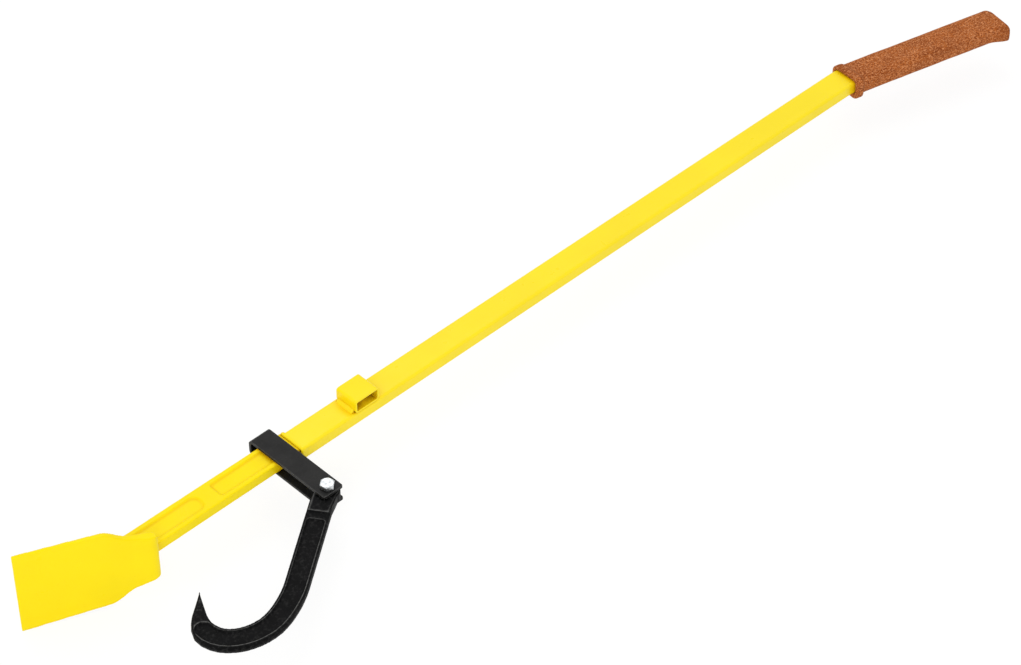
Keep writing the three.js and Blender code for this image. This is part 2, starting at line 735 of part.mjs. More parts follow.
function pivotNut() {
  const seat = -(STRAP_GAP / 2 + STRAP_THICKNESS + GAP);
  const lower = seat - NUT_HEIGHT;
  const hex = hexPrism(HEX_ACROSS_FLATS, NUT_HEIGHT);
  hex.translate(0, 0, lower);
  const rim = 0.47 * HEX_ACROSS_FLATS;
  const outside = 9;
  const rounded = turned([
    [0, lower],
    [rim, lower - 0.001],
    [outside, lower + HEX_CHAMFER],
    [outside, seat + 1],
    [0, seat + 1],
  ], 36);
  const end = lower - NUT_COLLAR_HEIGHT;
  const collarEdge = 0.8;
  const collar = turned([
    [0, end],
    [NUT_COLLAR_RADIUS - collarEdge, end],
    [NUT_COLLAR_RADIUS, end + collarEdge],
    [NUT_COLLAR_RADIUS, lower + 1],
    [0, lower + 1],
  ], 36);
  const bore = roundCutter(BOLT_RADIUS + GAP, end - 5, seat + 5);
  const grooveRadius = LOCK_RING_RADIUS + 0.1;
  const groove = roundCutter(grooveRadius, lower - 1.4, lower - 0.8 + LOCK_RING_HEIGHT);
  let nut = toSolid(hex).intersect(toSolid(rounded)).add(toSolid(collar));
  nut = nut.subtract(toSolid(bore)).subtract(toSolid(groove));
  const geometry = toGeometry(nut);
  geometry.translate(PIVOT_X, PIVOT_Y, 0);
  return geometry;
}

// Plastic ring held in the nut's collar, which keeps the bolt from working loose.
function nutLockRing() {
  const lower = -(STRAP_GAP / 2 + STRAP_THICKNESS + GAP) - NUT_HEIGHT;
  const ring = new THREE.Shape();
  ring.absarc(0, 0, LOCK_RING_RADIUS - 0.15, 0, 2 * Math.PI);
  const bore = new THREE.Path();
  bore.absarc(0, 0, BOLT_RADIUS + 0.2, 0, 2 * Math.PI);
  ring.holes.push(bore);
  const flat = { depth: LOCK_RING_HEIGHT, bevelEnabled: false, curveSegments: 32 };
  const body = new THREE.ExtrudeGeometry(ring, flat);
  body.translate(PIVOT_X, PIVOT_Y, lower - 1.1);
  return toGeometry(toSolid(body));
}

// Centre line of the hook from the pivot to its tip.
function hookPath() {
  const along = new THREE.Vector2(Math.cos(HOOK_ANGLE), Math.sin(HOOK_ANGLE));
  const side = new THREE.Vector2(-along.y, along.x);
  const offset = (from, x, y) => from.clone().add(new THREE.Vector2(x, y));
  const start = new THREE.Vector2(PIVOT_X, PIVOT_Y).addScaledVector(side, -HOOK_OFFSET);
  const straightEnd = new THREE.Vector2(...HOOK_STRAIGHT_END);
  const lowest = new THREE.Vector2(...HOOK_LOWEST);
  const leftmost = new THREE.Vector2(...HOOK_LEFTMOST);
  const tipBase = new THREE.Vector2(...HOOK_TIP_BASE);
  const tip = new THREE.Vector2(...HOOK_TIP);
  const ahead = tip.clone().sub(tipBase).normalize();
  const first = straightEnd.clone().addScaledVector(along, HOOK_HANDLES[0]);
  const last = tipBase.clone().addScaledVector(ahead, -HOOK_HANDLES[5]);
  const path = new THREE.CurvePath();
  path.add(new THREE.LineCurve(start, straightEnd));
  const intoLowest = offset(lowest, HOOK_HANDLES[1], 0);
  path.add(new THREE.CubicBezierCurve(straightEnd, first, intoLowest, lowest));
  const fromLowest = offset(lowest, -HOOK_HANDLES[2], 0);
  const intoLeftmost = offset(leftmost, 0, -HOOK_HANDLES[3]);
  path.add(new THREE.CubicBezierCurve(lowest, fromLowest, intoLeftmost, leftmost));
  const fromLeftmost = offset(leftmost, 0, HOOK_HANDLES[4]);
  path.add(new THREE.CubicBezierCurve(leftmost, fromLeftmost, last, tipBase));
  path.add(new THREE.LineCurve(tipBase, tip));
  return path;
}

// Bar swept along the hook's path; section gives its corners as offset and height at a length.
function sweptBar(path, lengths, section) {
  const total = path.getLength();
  const rings = lengths.map((length) => {
    const share = Math.min(1, length / total);
    const point = path.getPoint(share);
    const tangent = path.getTangent(share);
    return section(length, total).map(([offset, height]) => {
      const x = point.x - tangent.y * offset;
      const y = point.y + tangent.x * offset;
      return new THREE.Vector3(x, y, height);
    });
  });
  const positions = [];
  const triangle = (a, b, c) => [a, b, c].forEach((v) => positions.push(v.x, v.y, v.z));
  for (let i = 0; i + 1 < rings.length; i += 1) {
    rings[i].forEach((corner, k) => {
      const next = (k + 1) % rings[i].length;
      triangle(corner, rings[i + 1][next], rings[i][next]);
      triangle(corner, rings[i + 1][k], rings[i + 1][next]);
    });
  }
  const first = rings[0];
  const last = rings[rings.length - 1];
  for (let k = 1; k + 1 < first.length; k += 1) {
    triangle(first[0], first[k], first[k + 1]);
    triangle(last[0], last[k + 1], last[k]);
  }
  const geometry = new THREE.BufferGeometry();
  geometry.setAttribute('position', new THREE.Float32BufferAttribute(positions, 3));
  return geometry;
}

// Even steps between two lengths.
function steps(from, to, count) {
  const lengths = [];
  for (let i = 0; i <= count; i += 1) {
    lengths.push(from + ((to - from) * i) / count);
  }
  return lengths;
}

// Half width and half height of the hook: even along the arm, tapering to the tip.
function hookHalves(length, total) {
  const left = total - length;
  const narrowing = Math.min(1, left / TIP_TAPER);
  const thinning = Math.min(1, left / TIP_THINNING);
  const halfWidth = Math.max(0.45, (HOOK_WIDTH / 2) * Math.pow(narrowing, TIP_TAPER_POWER));
  const halfHeight = Math.max(0.9, (HOOK_HEIGHT / 2) * Math.pow(thinning, TIP_THINNING_POWER));
  return { halfWidth, halfHeight };
}

// Section of the hook: drafted sides with a narrow parting band at mid height.
function hookSection(length, total) {
  const { halfWidth, halfHeight } = hookHalves(length, total);
  const face = halfWidth - Math.min(HOOK_DRAFT, 0.35 * halfWidth);
  const band = HOOK_BAND;
  return [
    [halfWidth, band], [halfWidth, -band], [face, -halfHeight], [-face, -halfHeight],
    [-halfWidth, -band], [-halfWidth, band], [-face, halfHeight], [face, halfHeight],
  ];
}

// Cutter for the sunk panel of the hook's faces, inside a rim of even width, round at the far end.
function hookRecess(path) {
  const end = path.getLength() - RECESS_SHORT_OF_TIP;
  const full = HOOK_WIDTH / 2 - RECESS_RIM;
  const section = (length) => {
    const fromStart = length - RECESS_START;
    const toEnd = end - length;
    const rounding = Math.max(0, (full - toEnd) / full);
    const round = Math.sqrt(Math.max(0.01, 1 - rounding * rounding));
    const half = full * Math.min(1, 0.8 + fromStart / 12, round);
    const depth = RECESS_DEPTH * Math.min(1, 0.25 + fromStart / 3, 0.25 + toEnd / 3);
    const floor = HOOK_HEIGHT / 2 - depth;
    const top = HOOK_HEIGHT / 2 + 1;
    const foot = Math.max(0.3, half - RECESS_SLOPE);
    return [[half + 0.6, top], [foot, floor], [-foot, floor], [-half - 0.6, top]];
  };
  const near = steps(RECESS_START, RECESS_START + 4, 3);
  const middle = steps(RECESS_START + 4, end - full, 30).slice(1);
  const far = steps(end - full, end, 7).slice(1);
  return sweptBar(path, near.concat(middle, far), section);
}

// Thick eye and tongue that sit between the legs of the strap.
function hookEye() {
  const plan = new THREE.Shape();
  const half = TONGUE_WIDTH / 2;
  const turnedAngle = HOOK_ANGLE - Math.PI;
  plan.absarc(0, 0, EYE_RADIUS, -Math.PI / 2 - 0.5, Math.PI / 2);
  plan.lineTo(-TONGUE_LENGTH, half + HOOK_OFFSET);
  plan.lineTo(-TONGUE_LENGTH, HOOK_OFFSET - half);
  plan.closePath();
  const eye = slab(plan, TONGUE_HEIGHT, TONGUE_EDGE, 12);
  eye.rotateZ(turnedAngle);
  eye.translate(PIVOT_X, PIVOT_Y, 0);
  return eye;
}

function hookForging() {
  const path = hookPath();
  const total = path.getLength();
  const arm = steps(0, 88, 2);
  const curve = steps(88, total - 12, 30).slice(1);
  const point = steps(total - 12, total, 4).slice(1);
  const bar = sweptBar(path, arm.concat(curve, point), hookSection);
  const recess = hookRecess(path);
  const eyeClear = roundCutter(EYE_RADIUS + 1, -20, 20);
  eyeClear.translate(PIVOT_X, PIVOT_Y, 0);
  const bore = roundCutter(HOOK_BORE_RADIUS, -20, 20);
  bore.translate(PIVOT_X, PIVOT_Y, 0);
  let hook = toSolid(bar).subtract(toSolid(eyeClear));
  hook = hook.subtract(toSolid(recess)).subtract(toSolid(turnedOver(recess)));
  hook = hook.add(toSolid(hookEye())).subtract(toSolid(bore));
  return toGeometry(hook);
}

// Painted, plated, leather and plastic surfaces.
function surface(colour, roughness, metalness) {
  return new THREE.MeshStandardMaterial({ color: colour, roughness, metalness });
}

function yellow() {
  return surface(0xfbe028, 0.38, 0.0);
}

function black() {
  return surface(0x1f2022, 0.5, 0.1);
}

const pieces = [
  ['blade_forging', bladeForging(), yellow()],
  ['butt_weld', buttWeld(), yellow()],
  ['lever_tube', leverTube(), yellow()],
  ['stop_socket', stopSocket(), yellow()],
  ['socket_weld_blade_side', socketWeld(-1), yellow()],
  ['socket_weld_grip_side', socketWeld(1), yellow()],
  ['link_strap', linkStrap(), black()],
  ['hook_forging', hookForging(), black()],
  ['pivot_bolt', pivotBolt(), surface(0xd9dcdf, 0.3, 1.0)],
  ['pivot_nut', pivotNut(), surface(0xd9dcdf, 0.3, 1.0)],
  ['nut_lock_ring', nutLockRing(), surface(0x2b4f9e, 0.5, 0.0)],
  ['leather_sleeve', leatherSleeve(), surface(0xb9652f, 0.85, 0.0)],
  ['tube_end_plug', tubeEndPlug(), surface(0x18191b, 0.6, 0.0)],
];

// The object's box stands centred on the origin with its lowest point at z = 0.
function place(items) {
  const box = new THREE.Box3();
  items.forEach(([, geometry]) => {
    geometry.computeBoundingBox();
    box.union(geometry.boundingBox);
  });
  const middle = box.getCenter(new THREE.Vector3());
  items.forEach(([, geometry]) => geometry.translate(-middle.x, -middle.y, -box.min.z));
}

place(pieces);
const group = new THREE.Group();
group.name = 'felling_lever';
pieces.forEach(([name, geometry, material]) => {
  geometry.computeVertexNormals();
  const mesh = new THREE.Mesh(geometry, material);
  mesh.name = name;
  group.add(mesh);
});

export default group;
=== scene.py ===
"""Felling lever with a turning hook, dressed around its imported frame. Lengths are in metres."""

import json
import math

import bmesh
import bpy
import numpy as np
from bpy.props import FloatProperty, FloatVectorProperty, PointerProperty
from bpy.types import Operator, Panel, PropertyGroup
from mathutils import Matrix, Vector, noise


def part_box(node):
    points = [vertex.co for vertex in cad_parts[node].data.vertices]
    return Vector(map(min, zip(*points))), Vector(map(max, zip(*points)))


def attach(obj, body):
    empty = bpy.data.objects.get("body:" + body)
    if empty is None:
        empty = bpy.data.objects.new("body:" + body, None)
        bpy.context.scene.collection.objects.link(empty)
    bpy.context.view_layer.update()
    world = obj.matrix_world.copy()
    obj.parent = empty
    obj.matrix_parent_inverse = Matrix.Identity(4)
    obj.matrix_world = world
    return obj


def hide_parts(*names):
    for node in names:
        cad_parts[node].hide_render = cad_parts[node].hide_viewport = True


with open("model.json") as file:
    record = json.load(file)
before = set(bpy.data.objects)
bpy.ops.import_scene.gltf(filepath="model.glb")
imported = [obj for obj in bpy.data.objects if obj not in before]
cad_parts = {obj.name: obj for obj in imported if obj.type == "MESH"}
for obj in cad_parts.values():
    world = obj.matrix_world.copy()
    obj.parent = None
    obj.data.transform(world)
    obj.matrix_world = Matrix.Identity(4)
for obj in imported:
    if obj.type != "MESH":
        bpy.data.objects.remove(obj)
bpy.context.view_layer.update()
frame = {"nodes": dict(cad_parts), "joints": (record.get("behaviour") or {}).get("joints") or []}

bl_info = {
    "name": "Felling Lever",
    "version": (1, 0, 0),
    "blender": (4, 5, 0),
    "location": "3D View > Sidebar > Felling Lever",
    "description": "Dresses a felling lever with a turning hook around its packed frame",
    "category": "Object",
}

# Doubles closer than this are one corner, and faces turned less than this are one flat.
MERGE_DISTANCE = 2e-6
FLAT_ANGLE = math.radians(0.5)

WHITE = (1.0, 1.0, 1.0, 1.0)

# Sockets of Trim Curve for its two lengths, and of Mix for colours.
TRIM_START, TRIM_END = 4, 5
MIX_SHARE, MIX_FIRST, MIX_SECOND, MIX_RESULT = 0, 6, 7, 2

# Play between tube and leather, and the waves in its outside: waves to the metre, and height.
SLEEVE_GAP = 0.0003
LEATHER_WAVES = ((38, 0.00045), (160, 0.00016), (620, 0.00008))

# Places read from the frame.
TUBE_LOW, TUBE_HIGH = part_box("lever_tube")
BOLT_LOW, BOLT_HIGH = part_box("pivot_bolt")
NUT_LOW, NUT_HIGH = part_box("pivot_nut")
RING_LOW, RING_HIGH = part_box("nut_lock_ring")
PIVOT = Vector(next(joint for joint in frame["joints"] if joint["name"] == "hook_swing")["pos_m"])


def number_property(**kind):
    """Maker of numbers of one kind, each described by its name, its description and its default."""
    def describe(name, description, value):
        return FloatProperty(name=name, description=description, default=value, **kind)
    return describe


metres = number_property(unit="LENGTH")
radians = number_property(subtype="ANGLE")
fraction = number_property(subtype="FACTOR")


class LeverSizes(PropertyGroup):
    """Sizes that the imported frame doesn't fix by itself."""

    tube_width: metres("Tube width", "Width of the lever tube", 0.030)
    tube_height: metres("Tube height", "Height of the lever tube", 0.015)
    tube_wall: metres("Tube wall", "Wall of the lever tube", 0.002)
    tube_corner: metres("Tube corner", "Outer corner radius of the tube", 0.003)
    bend_from_start: metres("Bend place", "Corner of the bend from the tube's start", 0.787)
    bend_angle: radians("Bend angle", "Turn of the grip from the lever's line", math.radians(14))
    bend_radius: metres("Bend radius", "Radius of the bend", 0.045)
    grip_tube: metres("Grip tube", "Tube's length beyond the bend's corner", 0.191)
    leather: metres("Leather", "Thickness of the leather", 0.0028)
    sleeve_start: metres("Sleeve start", "Near lip from the bend's corner", 0.0008)
    sleeve_end: metres("Sleeve end", "Far lip from the bend's corner", 0.2023)
    collar_rise: metres("Collar rise", "How far the near lip turns out", 0.0022)
    fin_rise: metres("Fin rise", "How far the far lip turns out towards the hook", 0.0066)
    lip_skew: metres(
        "Lip skew", "How much farther up the grip the near lip starts on the hook's side", 0.0022)
    end_skew: metres("End skew", "How much farther the far lip reaches on the hook's side", 0.0018)
    end_round: metres("End round", "Rounding of the far lip's back corner", 0.009)
    stitch_spacing: metres("Stitch spacing", "Spacing of the sleeve's stitches", 0.0055)
    stitch_length: metres("Stitch length", "Length of one stitch", 0.0036)
    thread_radius: metres("Sewing thread", "Radius of the sewing thread", 0.00042)
    forging_grain: metres("Forging grain", "Size of the facets that the forgings are smoothed from", 0.0008)
    hook_grain: metres("Hook grain", "The same for the hook", 0.0006)
    forging_unevenness: metres("Forging unevenness", "Height of the hammered waves", 0.00010)
    into_weld: metres("Length in the weld", "How far shank and tube run into the weld between them", 0.0012)
    bead_width: metres("Bead half width", "Half the width of the weld round the shank", 0.0023)
    bead_height: metres("Bead half height", "Half the thickness of that weld", 0.0016)
    fillet_width: metres("Fillet half width", "Half the width of the welds under the socket", 0.0036)
    fillet_height: metres("Fillet half height", "Half the thickness of those welds", 0.0017)
    ripple_spacing: metres("Ripple spacing", "Spacing of the weld ripples", 0.0021)
    ripple_depth: metres("Ripple depth", "Depth of the weld ripples", 0.00018)
    bolt_pitch: metres("Thread pitch", "Pitch of the bolt's thread", 0.00125)
    bolt_radius: metres("Bolt radius", "Outer radius of the bolt's thread", 0.004)
    hexagon: metres("Hexagon", "Width across the flats of head and nut", 0.013)
    hexagon_turn: radians("Hexagon turn", "Turn of the hexagons", 0.69)
    edge_round: metres("Edge round", "Rounding of cut bar and tube edges", 0.0005)
    floor_size: metres("Floor size", "Side of the pale floor", 14.0)


def colour(name, description, value):
    """Describe one linear colour that a user may change."""
    return FloatVectorProperty(
        name=name, description=description, default=value, size=3, subtype="COLOR", min=0.0, max=1.0)


class LeverColours(PropertyGroup):
    """Linear colours of the finishes."""

    yellow: colour("Yellow enamel", "Paint of the lever", (0.980, 0.765, 0.004))
    # Painted shade: this deeper enamel is mixed in creases, near the strap and in the shank's pockets,
    # where shade falls.
    shaded_yellow: colour("Shaded enamel", "Paint in creases and bores", (0.780, 0.360, 0.001))
    # Painted shade: this brown darkens the enamel deep in bores and narrow gaps, where little light
    # reaches.
    bore_shade_brown: colour("Bore brown", "Thin paint deep in a bore", (0.060, 0.024, 0.001))
    thin_yellow: colour("Thin enamel", "Paint where it is thin on an edge", (0.800, 0.470, 0.006))
    bare_steel: colour("Bare steel", "Steel in a chip of the paint", (0.230, 0.215, 0.200))
    black: colour("Black paint", "Paint of the hook", (0.0021, 0.0021, 0.0022))
    bar_black: colour("Bar paint", "Paint of the strap", (0.0082, 0.0080, 0.0077))
    # This grey is wear and dust, and also painted highlight on the edges and crests of the black paint.
    wear_dust_highlight_grey: colour("Worn black", "Paint rubbed grey on an edge", (0.130, 0.128, 0.125))
    zinc: colour("Zinc", "Plate of bolt and nut", (0.720, 0.745, 0.755))
    dull_zinc: colour("Dull zinc", "Clouded patches in the plate", (0.340, 0.360, 0.365))
    nylon: colour("Blue nylon", "Ring that locks the nut", (0.025, 0.080, 0.340))
    leather: colour("Leather", "Middle tone of the leather", (0.440, 0.116, 0.020))
    # Dark leather is also painted as shade in the sleeve's folds and grooves.
    dark_leather: colour("Dark leather", "Pressed and shaded leather", (0.200, 0.040, 0.007))
    pale_leather: colour("Pale leather", "Raised fibres", (0.710, 0.285, 0.115))
    thread: colour("Thread", "Waxed sewing thread", (0.350, 0.170, 0.070))
    plastic: colour("Black plastic", "Plug in the tube's end", (0.012, 0.012, 0.013))
    floor: colour("Floor", "Pale floor", (0.900, 0.900, 0.900))


class StageSettings(PropertyGroup):
    """Light and camera."""

    sky: fraction("Sky", "Level of the even light", 0.82)
    key: fraction("Key lamp", "Level that the key lamp adds", 0.22)
    back: fraction("Back lamp", "Level that the lamp behind the lever adds", 0.13)
    shadow: fraction("Shadow", "Share of the floor's shading that the camera sees", 0.20)
    glow: fraction("Floor glow", "Level of the floor's own white", 1.055)
    azimuth: radians("Azimuth", "Camera's turn about the upright axis", math.radians(-44.498))
    elevation: radians("Elevation", "Camera's height angle", math.radians(43.158))
    roll: radians("Roll", "Camera's turn about its own view", math.radians(0.11))
    lens: FloatProperty(
        name="Lens", description="Focal length on a 36 mm wide frame, in millimetres", default=112.83,
        unit="CAMERA")
    seen_from: FloatVectorProperty(
        name="Seen from", description="Camera's place, measured from the hook's pivot",
        default=(-1.33350, -1.60008, 2.15326), size=3, subtype="TRANSLATION", unit="LENGTH")


def sizes():
    return bpy.context.scene.felling_lever_sizes


def colours():
    return bpy.context.scene.felling_lever_colours


def rgba(value):
    return (value[0], value[1], value[2], 1.0)


# Meshes

def new_piece(name, data):
    """Link new data to the scene as an object that sits at the origin."""
    piece = bpy.data.objects.new(name, data)
    bpy.context.scene.collection.objects.link(piece)
    return piece


def piece_from_bmesh(name, bm):
    """Turn a bmesh into a piece."""
    mesh = bpy.data.meshes.new(name)
    bm.to_mesh(mesh)
    bm.free()
    return new_piece(name, mesh)


def merged_copy(node, name):
    """Copy a CAD node's loose triangles into one closed body with whole flats."""
    bm = bmesh.new()
    bm.from_mesh(frame["nodes"][node].data)
    bmesh.ops.remove_doubles(bm, verts=bm.verts, dist=MERGE_DISTANCE)
    bmesh.ops.dissolve_limit(bm, angle_limit=FLAT_ANGLE, verts=bm.verts, edges=bm.edges)
    return piece_from_bmesh(name, bm)


def make_real(piece):
    """Replace a piece's live modifiers by the plain mesh that they make."""
    depsgraph = bpy.context.evaluated_depsgraph_get()
    made = bpy.data.meshes.new_from_object(piece.evaluated_get(depsgraph))
    made.name = piece.name
    piece.modifiers.clear()
    piece.data = made
    return piece


def smooth_all(piece):
    """Shade a piece smooth all over."""
    for polygon in piece.data.polygons:
        polygon.use_smooth = True


def round_edges(piece, width, segments=2, angle=math.radians(35)):
    """Round the sharp edges of a cut piece, and weight normals by face size so that flats look flat."""
    smooth_all(piece)
    bevel = piece.modifiers.new("Rounded edges", "BEVEL")
    bevel.width = width
    bevel.segments = segments
    bevel.limit_method = "ANGLE"
    bevel.angle_limit = angle
    bevel.harden_normals = False
    weighted = piece.modifiers.new("Flat faces", "WEIGHTED_NORMAL")
    weighted.mode = "FACE_AREA"
    weighted.weight = 50
    weighted.keep_sharp = True


def dress(piece, body, nodes, material):
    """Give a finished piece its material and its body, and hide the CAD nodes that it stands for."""
    piece.data.materials.clear()
    piece.data.materials.append(material)
    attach(piece, body)
    if nodes:
        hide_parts(*nodes)


def rounded_ring(half_width, half_height, radius, segments):
    """Points and outward directions round a rectangle with round corners, anticlockwise."""
    ring = []
    for corner, (sx, sy) in enumerate(((1, 1), (-1, 1), (-1, -1), (1, -1))):
        middle = Vector((sx * (half_width - radius), sy * (half_height - radius)))
        for i in range(segments + 1):
            angle = (corner + i / segments) * math.pi / 2
            out = Vector((math.cos(angle), math.sin(angle)))
            ring.append((middle + out * radius, out))
    return ring


def filled_ring(ring, spacing):
    """Add points along the straight stretches of a ring, so that they can be shaped too."""
    filled = []
    for (point, out), (after, next_out) in zip(ring, ring[1:] + ring[:1]):
        filled.append((point, out))
        count = int((after - point).length / spacing)
        for i in range(1, count):
            share = i / count
            filled.append((point.lerp(after, share), out.lerp(next_out, share).normalized()))
    return filled


def skin_rings(rings, closed_along, marks=None):
    """Join rings of points by quads, closed round each ring and, if asked, from last to first.

    Marks are rows of numbers kept on the points as an attribute; on the sleeve they carry its painted fold
    shade and dark seam. Faces point outwards.
    """
    bm = bmesh.new()
    if marks:
        layer = bm.verts.layers.float.new("fold_shade_and_seam")
    rows = [[bm.verts.new(point) for point in ring] for ring in rings]
    for row, row_marks in zip(rows, marks or ()):
        for vertex, mark in zip(row, row_marks):
            vertex[layer] = mark
    pairs = list(zip(rows, rows[1:]))
    if closed_along:
        pairs.append((rows[-1], rows[0]))
    for near, far in pairs:
        for k in range(len(near)):
            after = (k + 1) % len(near)
            bm.faces.new((near[k], near[after], far[after], far[k]))
    if not closed_along:
        bm.faces.new(rows[0][::-1])
        bm.faces.new(rows[-1])
    bmesh.ops.remove_doubles(bm, verts=bm.verts, dist=MERGE_DISTANCE)
    bmesh.ops.recalc_face_normals(bm, faces=bm.faces)
    return bm


def within(value):
    """A value kept between 0 and 1."""
    return min(1.0, max(0.0, value))


def step_share(value):
    """Smooth step from 0 to 1."""
    t = within(value)
    return t * t * (3 - 2 * t)


# Lever's axis

def lever_axis(length):
    """Place and heading on the tube's centre line at a length from the bend's corner."""
    size = sizes()
    corner = Vector((
        TUBE_LOW.x + size.bend_from_start, TUBE_HIGH.y - size.tube_width / 2,
        (TUBE_LOW.z + TUBE_HIGH.z) / 2))
    reach = size.bend_radius * math.tan(size.bend_angle / 2)
    if length <= -reach:
        return corner + Vector((length, 0, 0)), 0.0
    if length >= reach:
        along = Vector((math.cos(size.bend_angle), -math.sin(size.bend_angle), 0))
        return corner + along * length, -size.bend_angle
    turned = (length + reach) / (2 * reach) * size.bend_angle
    x = size.bend_radius * math.sin(turned) - reach
    y = -size.bend_radius * (1 - math.cos(turned))
    return corner + Vector((x, y, 0)), -turned


def on_section(length, across, height):
    """Point of the tube's section at a length, from its offsets across and up."""
    place, heading = lever_axis(length)
    return place + Vector((-math.sin(heading) * across, math.cos(heading) * across, height))


# Node trees

def emptied_tree(owner):
    """Cleared node tree of a material or a world."""
    owner.use_nodes = True
    owner.node_tree.nodes.clear()
    return owner.node_tree


class NodeBuilder:
    """Builds up a node tree by calls that each return an output."""

    def __init__(self, tree):
        self.tree = tree

    def fill(self, node, inputs):
        """Set or link a node's inputs."""
        for socket, value in inputs.items():
            if isinstance(value, bpy.types.NodeSocket):
                self.tree.links.new(value, node.inputs[socket])
            else:
                node.inputs[socket].default_value = value

    def add(self, kind, inputs=None, output=0, **settings):
        """Add a node, set its fields, fill its inputs, and return one output, or all for None."""
        node = self.tree.nodes.new(kind)
        for field, value in settings.items():
            setattr(node, field, value)
        self.fill(node, inputs or {})
        return node.outputs if output is None else node.outputs[output]

    def shade(self, kind, *rest, **settings):
        """Add a shader or maths node."""
        return self.add("ShaderNode" + kind, *rest, **settings)

    def shape(self, kind, *rest, **settings):
        """Add a geometry node."""
        return self.add("GeometryNode" + kind, *rest, **settings)

    def maths(self, operation, *values):
        """Math node on one to three values."""
        return self.shade("Math", dict(enumerate(values)), operation=operation)

    def times(self, first, second):
        return self.maths("MULTIPLY", first, second)


class ShapingTree(NodeBuilder):
    """Geometry Nodes tree with named inputs, which are sockets in given."""

    def __init__(self, name, floats, vectors=()):
        super().__init__(bpy.data.node_groups.new(name, "GeometryNodeTree"))
        sockets = [("Geometry", "INPUT", "Geometry"), ("Geometry", "OUTPUT", "Geometry")]
        sockets += [(label, "INPUT", "Float") for label in floats]
        sockets += [(label, "INPUT", "Vector") for label in vectors]
        for label, side, kind in sockets:
            self.tree.interface.new_socket(name=label, in_out=side, socket_type="NodeSocket" + kind)
        self.given = self.tree.nodes.new("NodeGroupInput").outputs

    def sweep(self, path, profile):
        """Closed bar of one profile along a path."""
        return self.shape("CurveToMesh", {
            "Curve": path, "Profile Curve": profile, "Fill Caps": True})

    def end(self, geometry, material):
        """Close the tree with Realize Instances and Set Material."""
        real = self.shape("RealizeInstances", {"Geometry": geometry})
        done = self.shape("SetMaterial", {"Geometry": real, "Material": material})
        self.fill(self.tree.nodes.new("NodeGroupOutput"), {"Geometry": done})
        return self

    def run(self, name, points, values, closed=False):
        """Set the inputs by identifier on a line of points, and make the result a plain smooth piece."""
        mesh = bpy.data.meshes.new(name)
        edges = [(i, i + 1) for i in range(len(points) - 1)]
        if closed:
            edges.append((len(points) - 1, 0))
        mesh.from_pydata([tuple(point) for point in points], edges, [])
        piece = new_piece(name, mesh)
        modifier = piece.modifiers.new(self.tree.name, "NODES")
        modifier.node_group = self.tree
        for item in self.tree.interface.items_tree:
            if item.in_out == "INPUT" and item.name in values:
                modifier[item.identifier] = values[item.name]
        make_real(piece)
        smooth_all(piece)
        return piece


# Materials

def toned(tone, factor):
    """A colour made darker or lighter."""
    return [min(1.0, value * factor) for value in tone]


class Finish(NodeBuilder):
    """Material with one principled shader, whose plain values are set on its own sockets."""

    def __init__(self, name, values):
        self.material = bpy.data.materials.new(name)
        super().__init__(emptied_tree(self.material))
        surface = self.shade("BsdfPrincipled", values)
        self.shader = surface.node
        self.shade("OutputMaterial", {"Surface": surface}, None, is_active_output=True)
        self.place = self.shade("TexCoord", output="Object")

    def grain(self, scale, detail=3.0, roughness=0.55, place=None):
        """Noise pattern at so many waves to the metre."""
        return self.shade("TexNoise", {
            "Vector": self.place if place is None else place,
            "Scale": scale, "Detail": detail, "Roughness": roughness})

    def remap(self, value, low, high, to_low=0.0, to_high=1.0):
        return self.shade("MapRange", {
            "Value": value, "From Min": low, "From Max": high, "To Min": to_low, "To Max": to_high},
            clamp=True)

    def mix(self, share, *pair):
        """Mix two colours, each an output or a plain one, by a share from 0 to 1."""
        first, second = (
            value if isinstance(value, bpy.types.NodeSocket) else rgba(value) for value in pair)
        return self.shade("Mix", {
            MIX_SHARE: share, MIX_FIRST: first, MIX_SECOND: second}, MIX_RESULT, data_type="RGBA")

    def edges(self, radius, low, high):
        """Share of an edge near a point, from how far the rounded normal leans off the true one."""
        rounded = self.shade("Bevel", {"Radius": radius}, samples=6)
        true = self.shade("NewGeometry", output="Normal")
        lean = self.shade("VectorMath", {0: rounded, 1: true}, "Value", operation="DOT_PRODUCT")
        return self.remap(lean, 1 - low, 1 - high)

    def openness(self, reach):
        """Share of the surroundings of a point that are clear within a reach."""
        return self.shade("AmbientOcclusion", {"Distance": reach}, "AO", samples=6)

    def attribute(self, name):
        """Number kept on the points of a piece under a name."""
        return self.shade("Attribute", output="Fac", attribute_name=name)

    def finished(self, colour_output, roughness, *layers):
        """Feed the shader, with bumps as heights, strengths and depths, and return the material."""
        normal = None
        for height, strength, depth in layers:
            inputs = {"Height": height, "Strength": strength, "Distance": depth}
            if normal is not None:
                inputs["Normal"] = normal
            normal = self.shade("Bump", inputs)
        self.fill(self.shader, {"Base Color": colour_output, "Roughness": roughness, "Normal": normal})
        return self.material


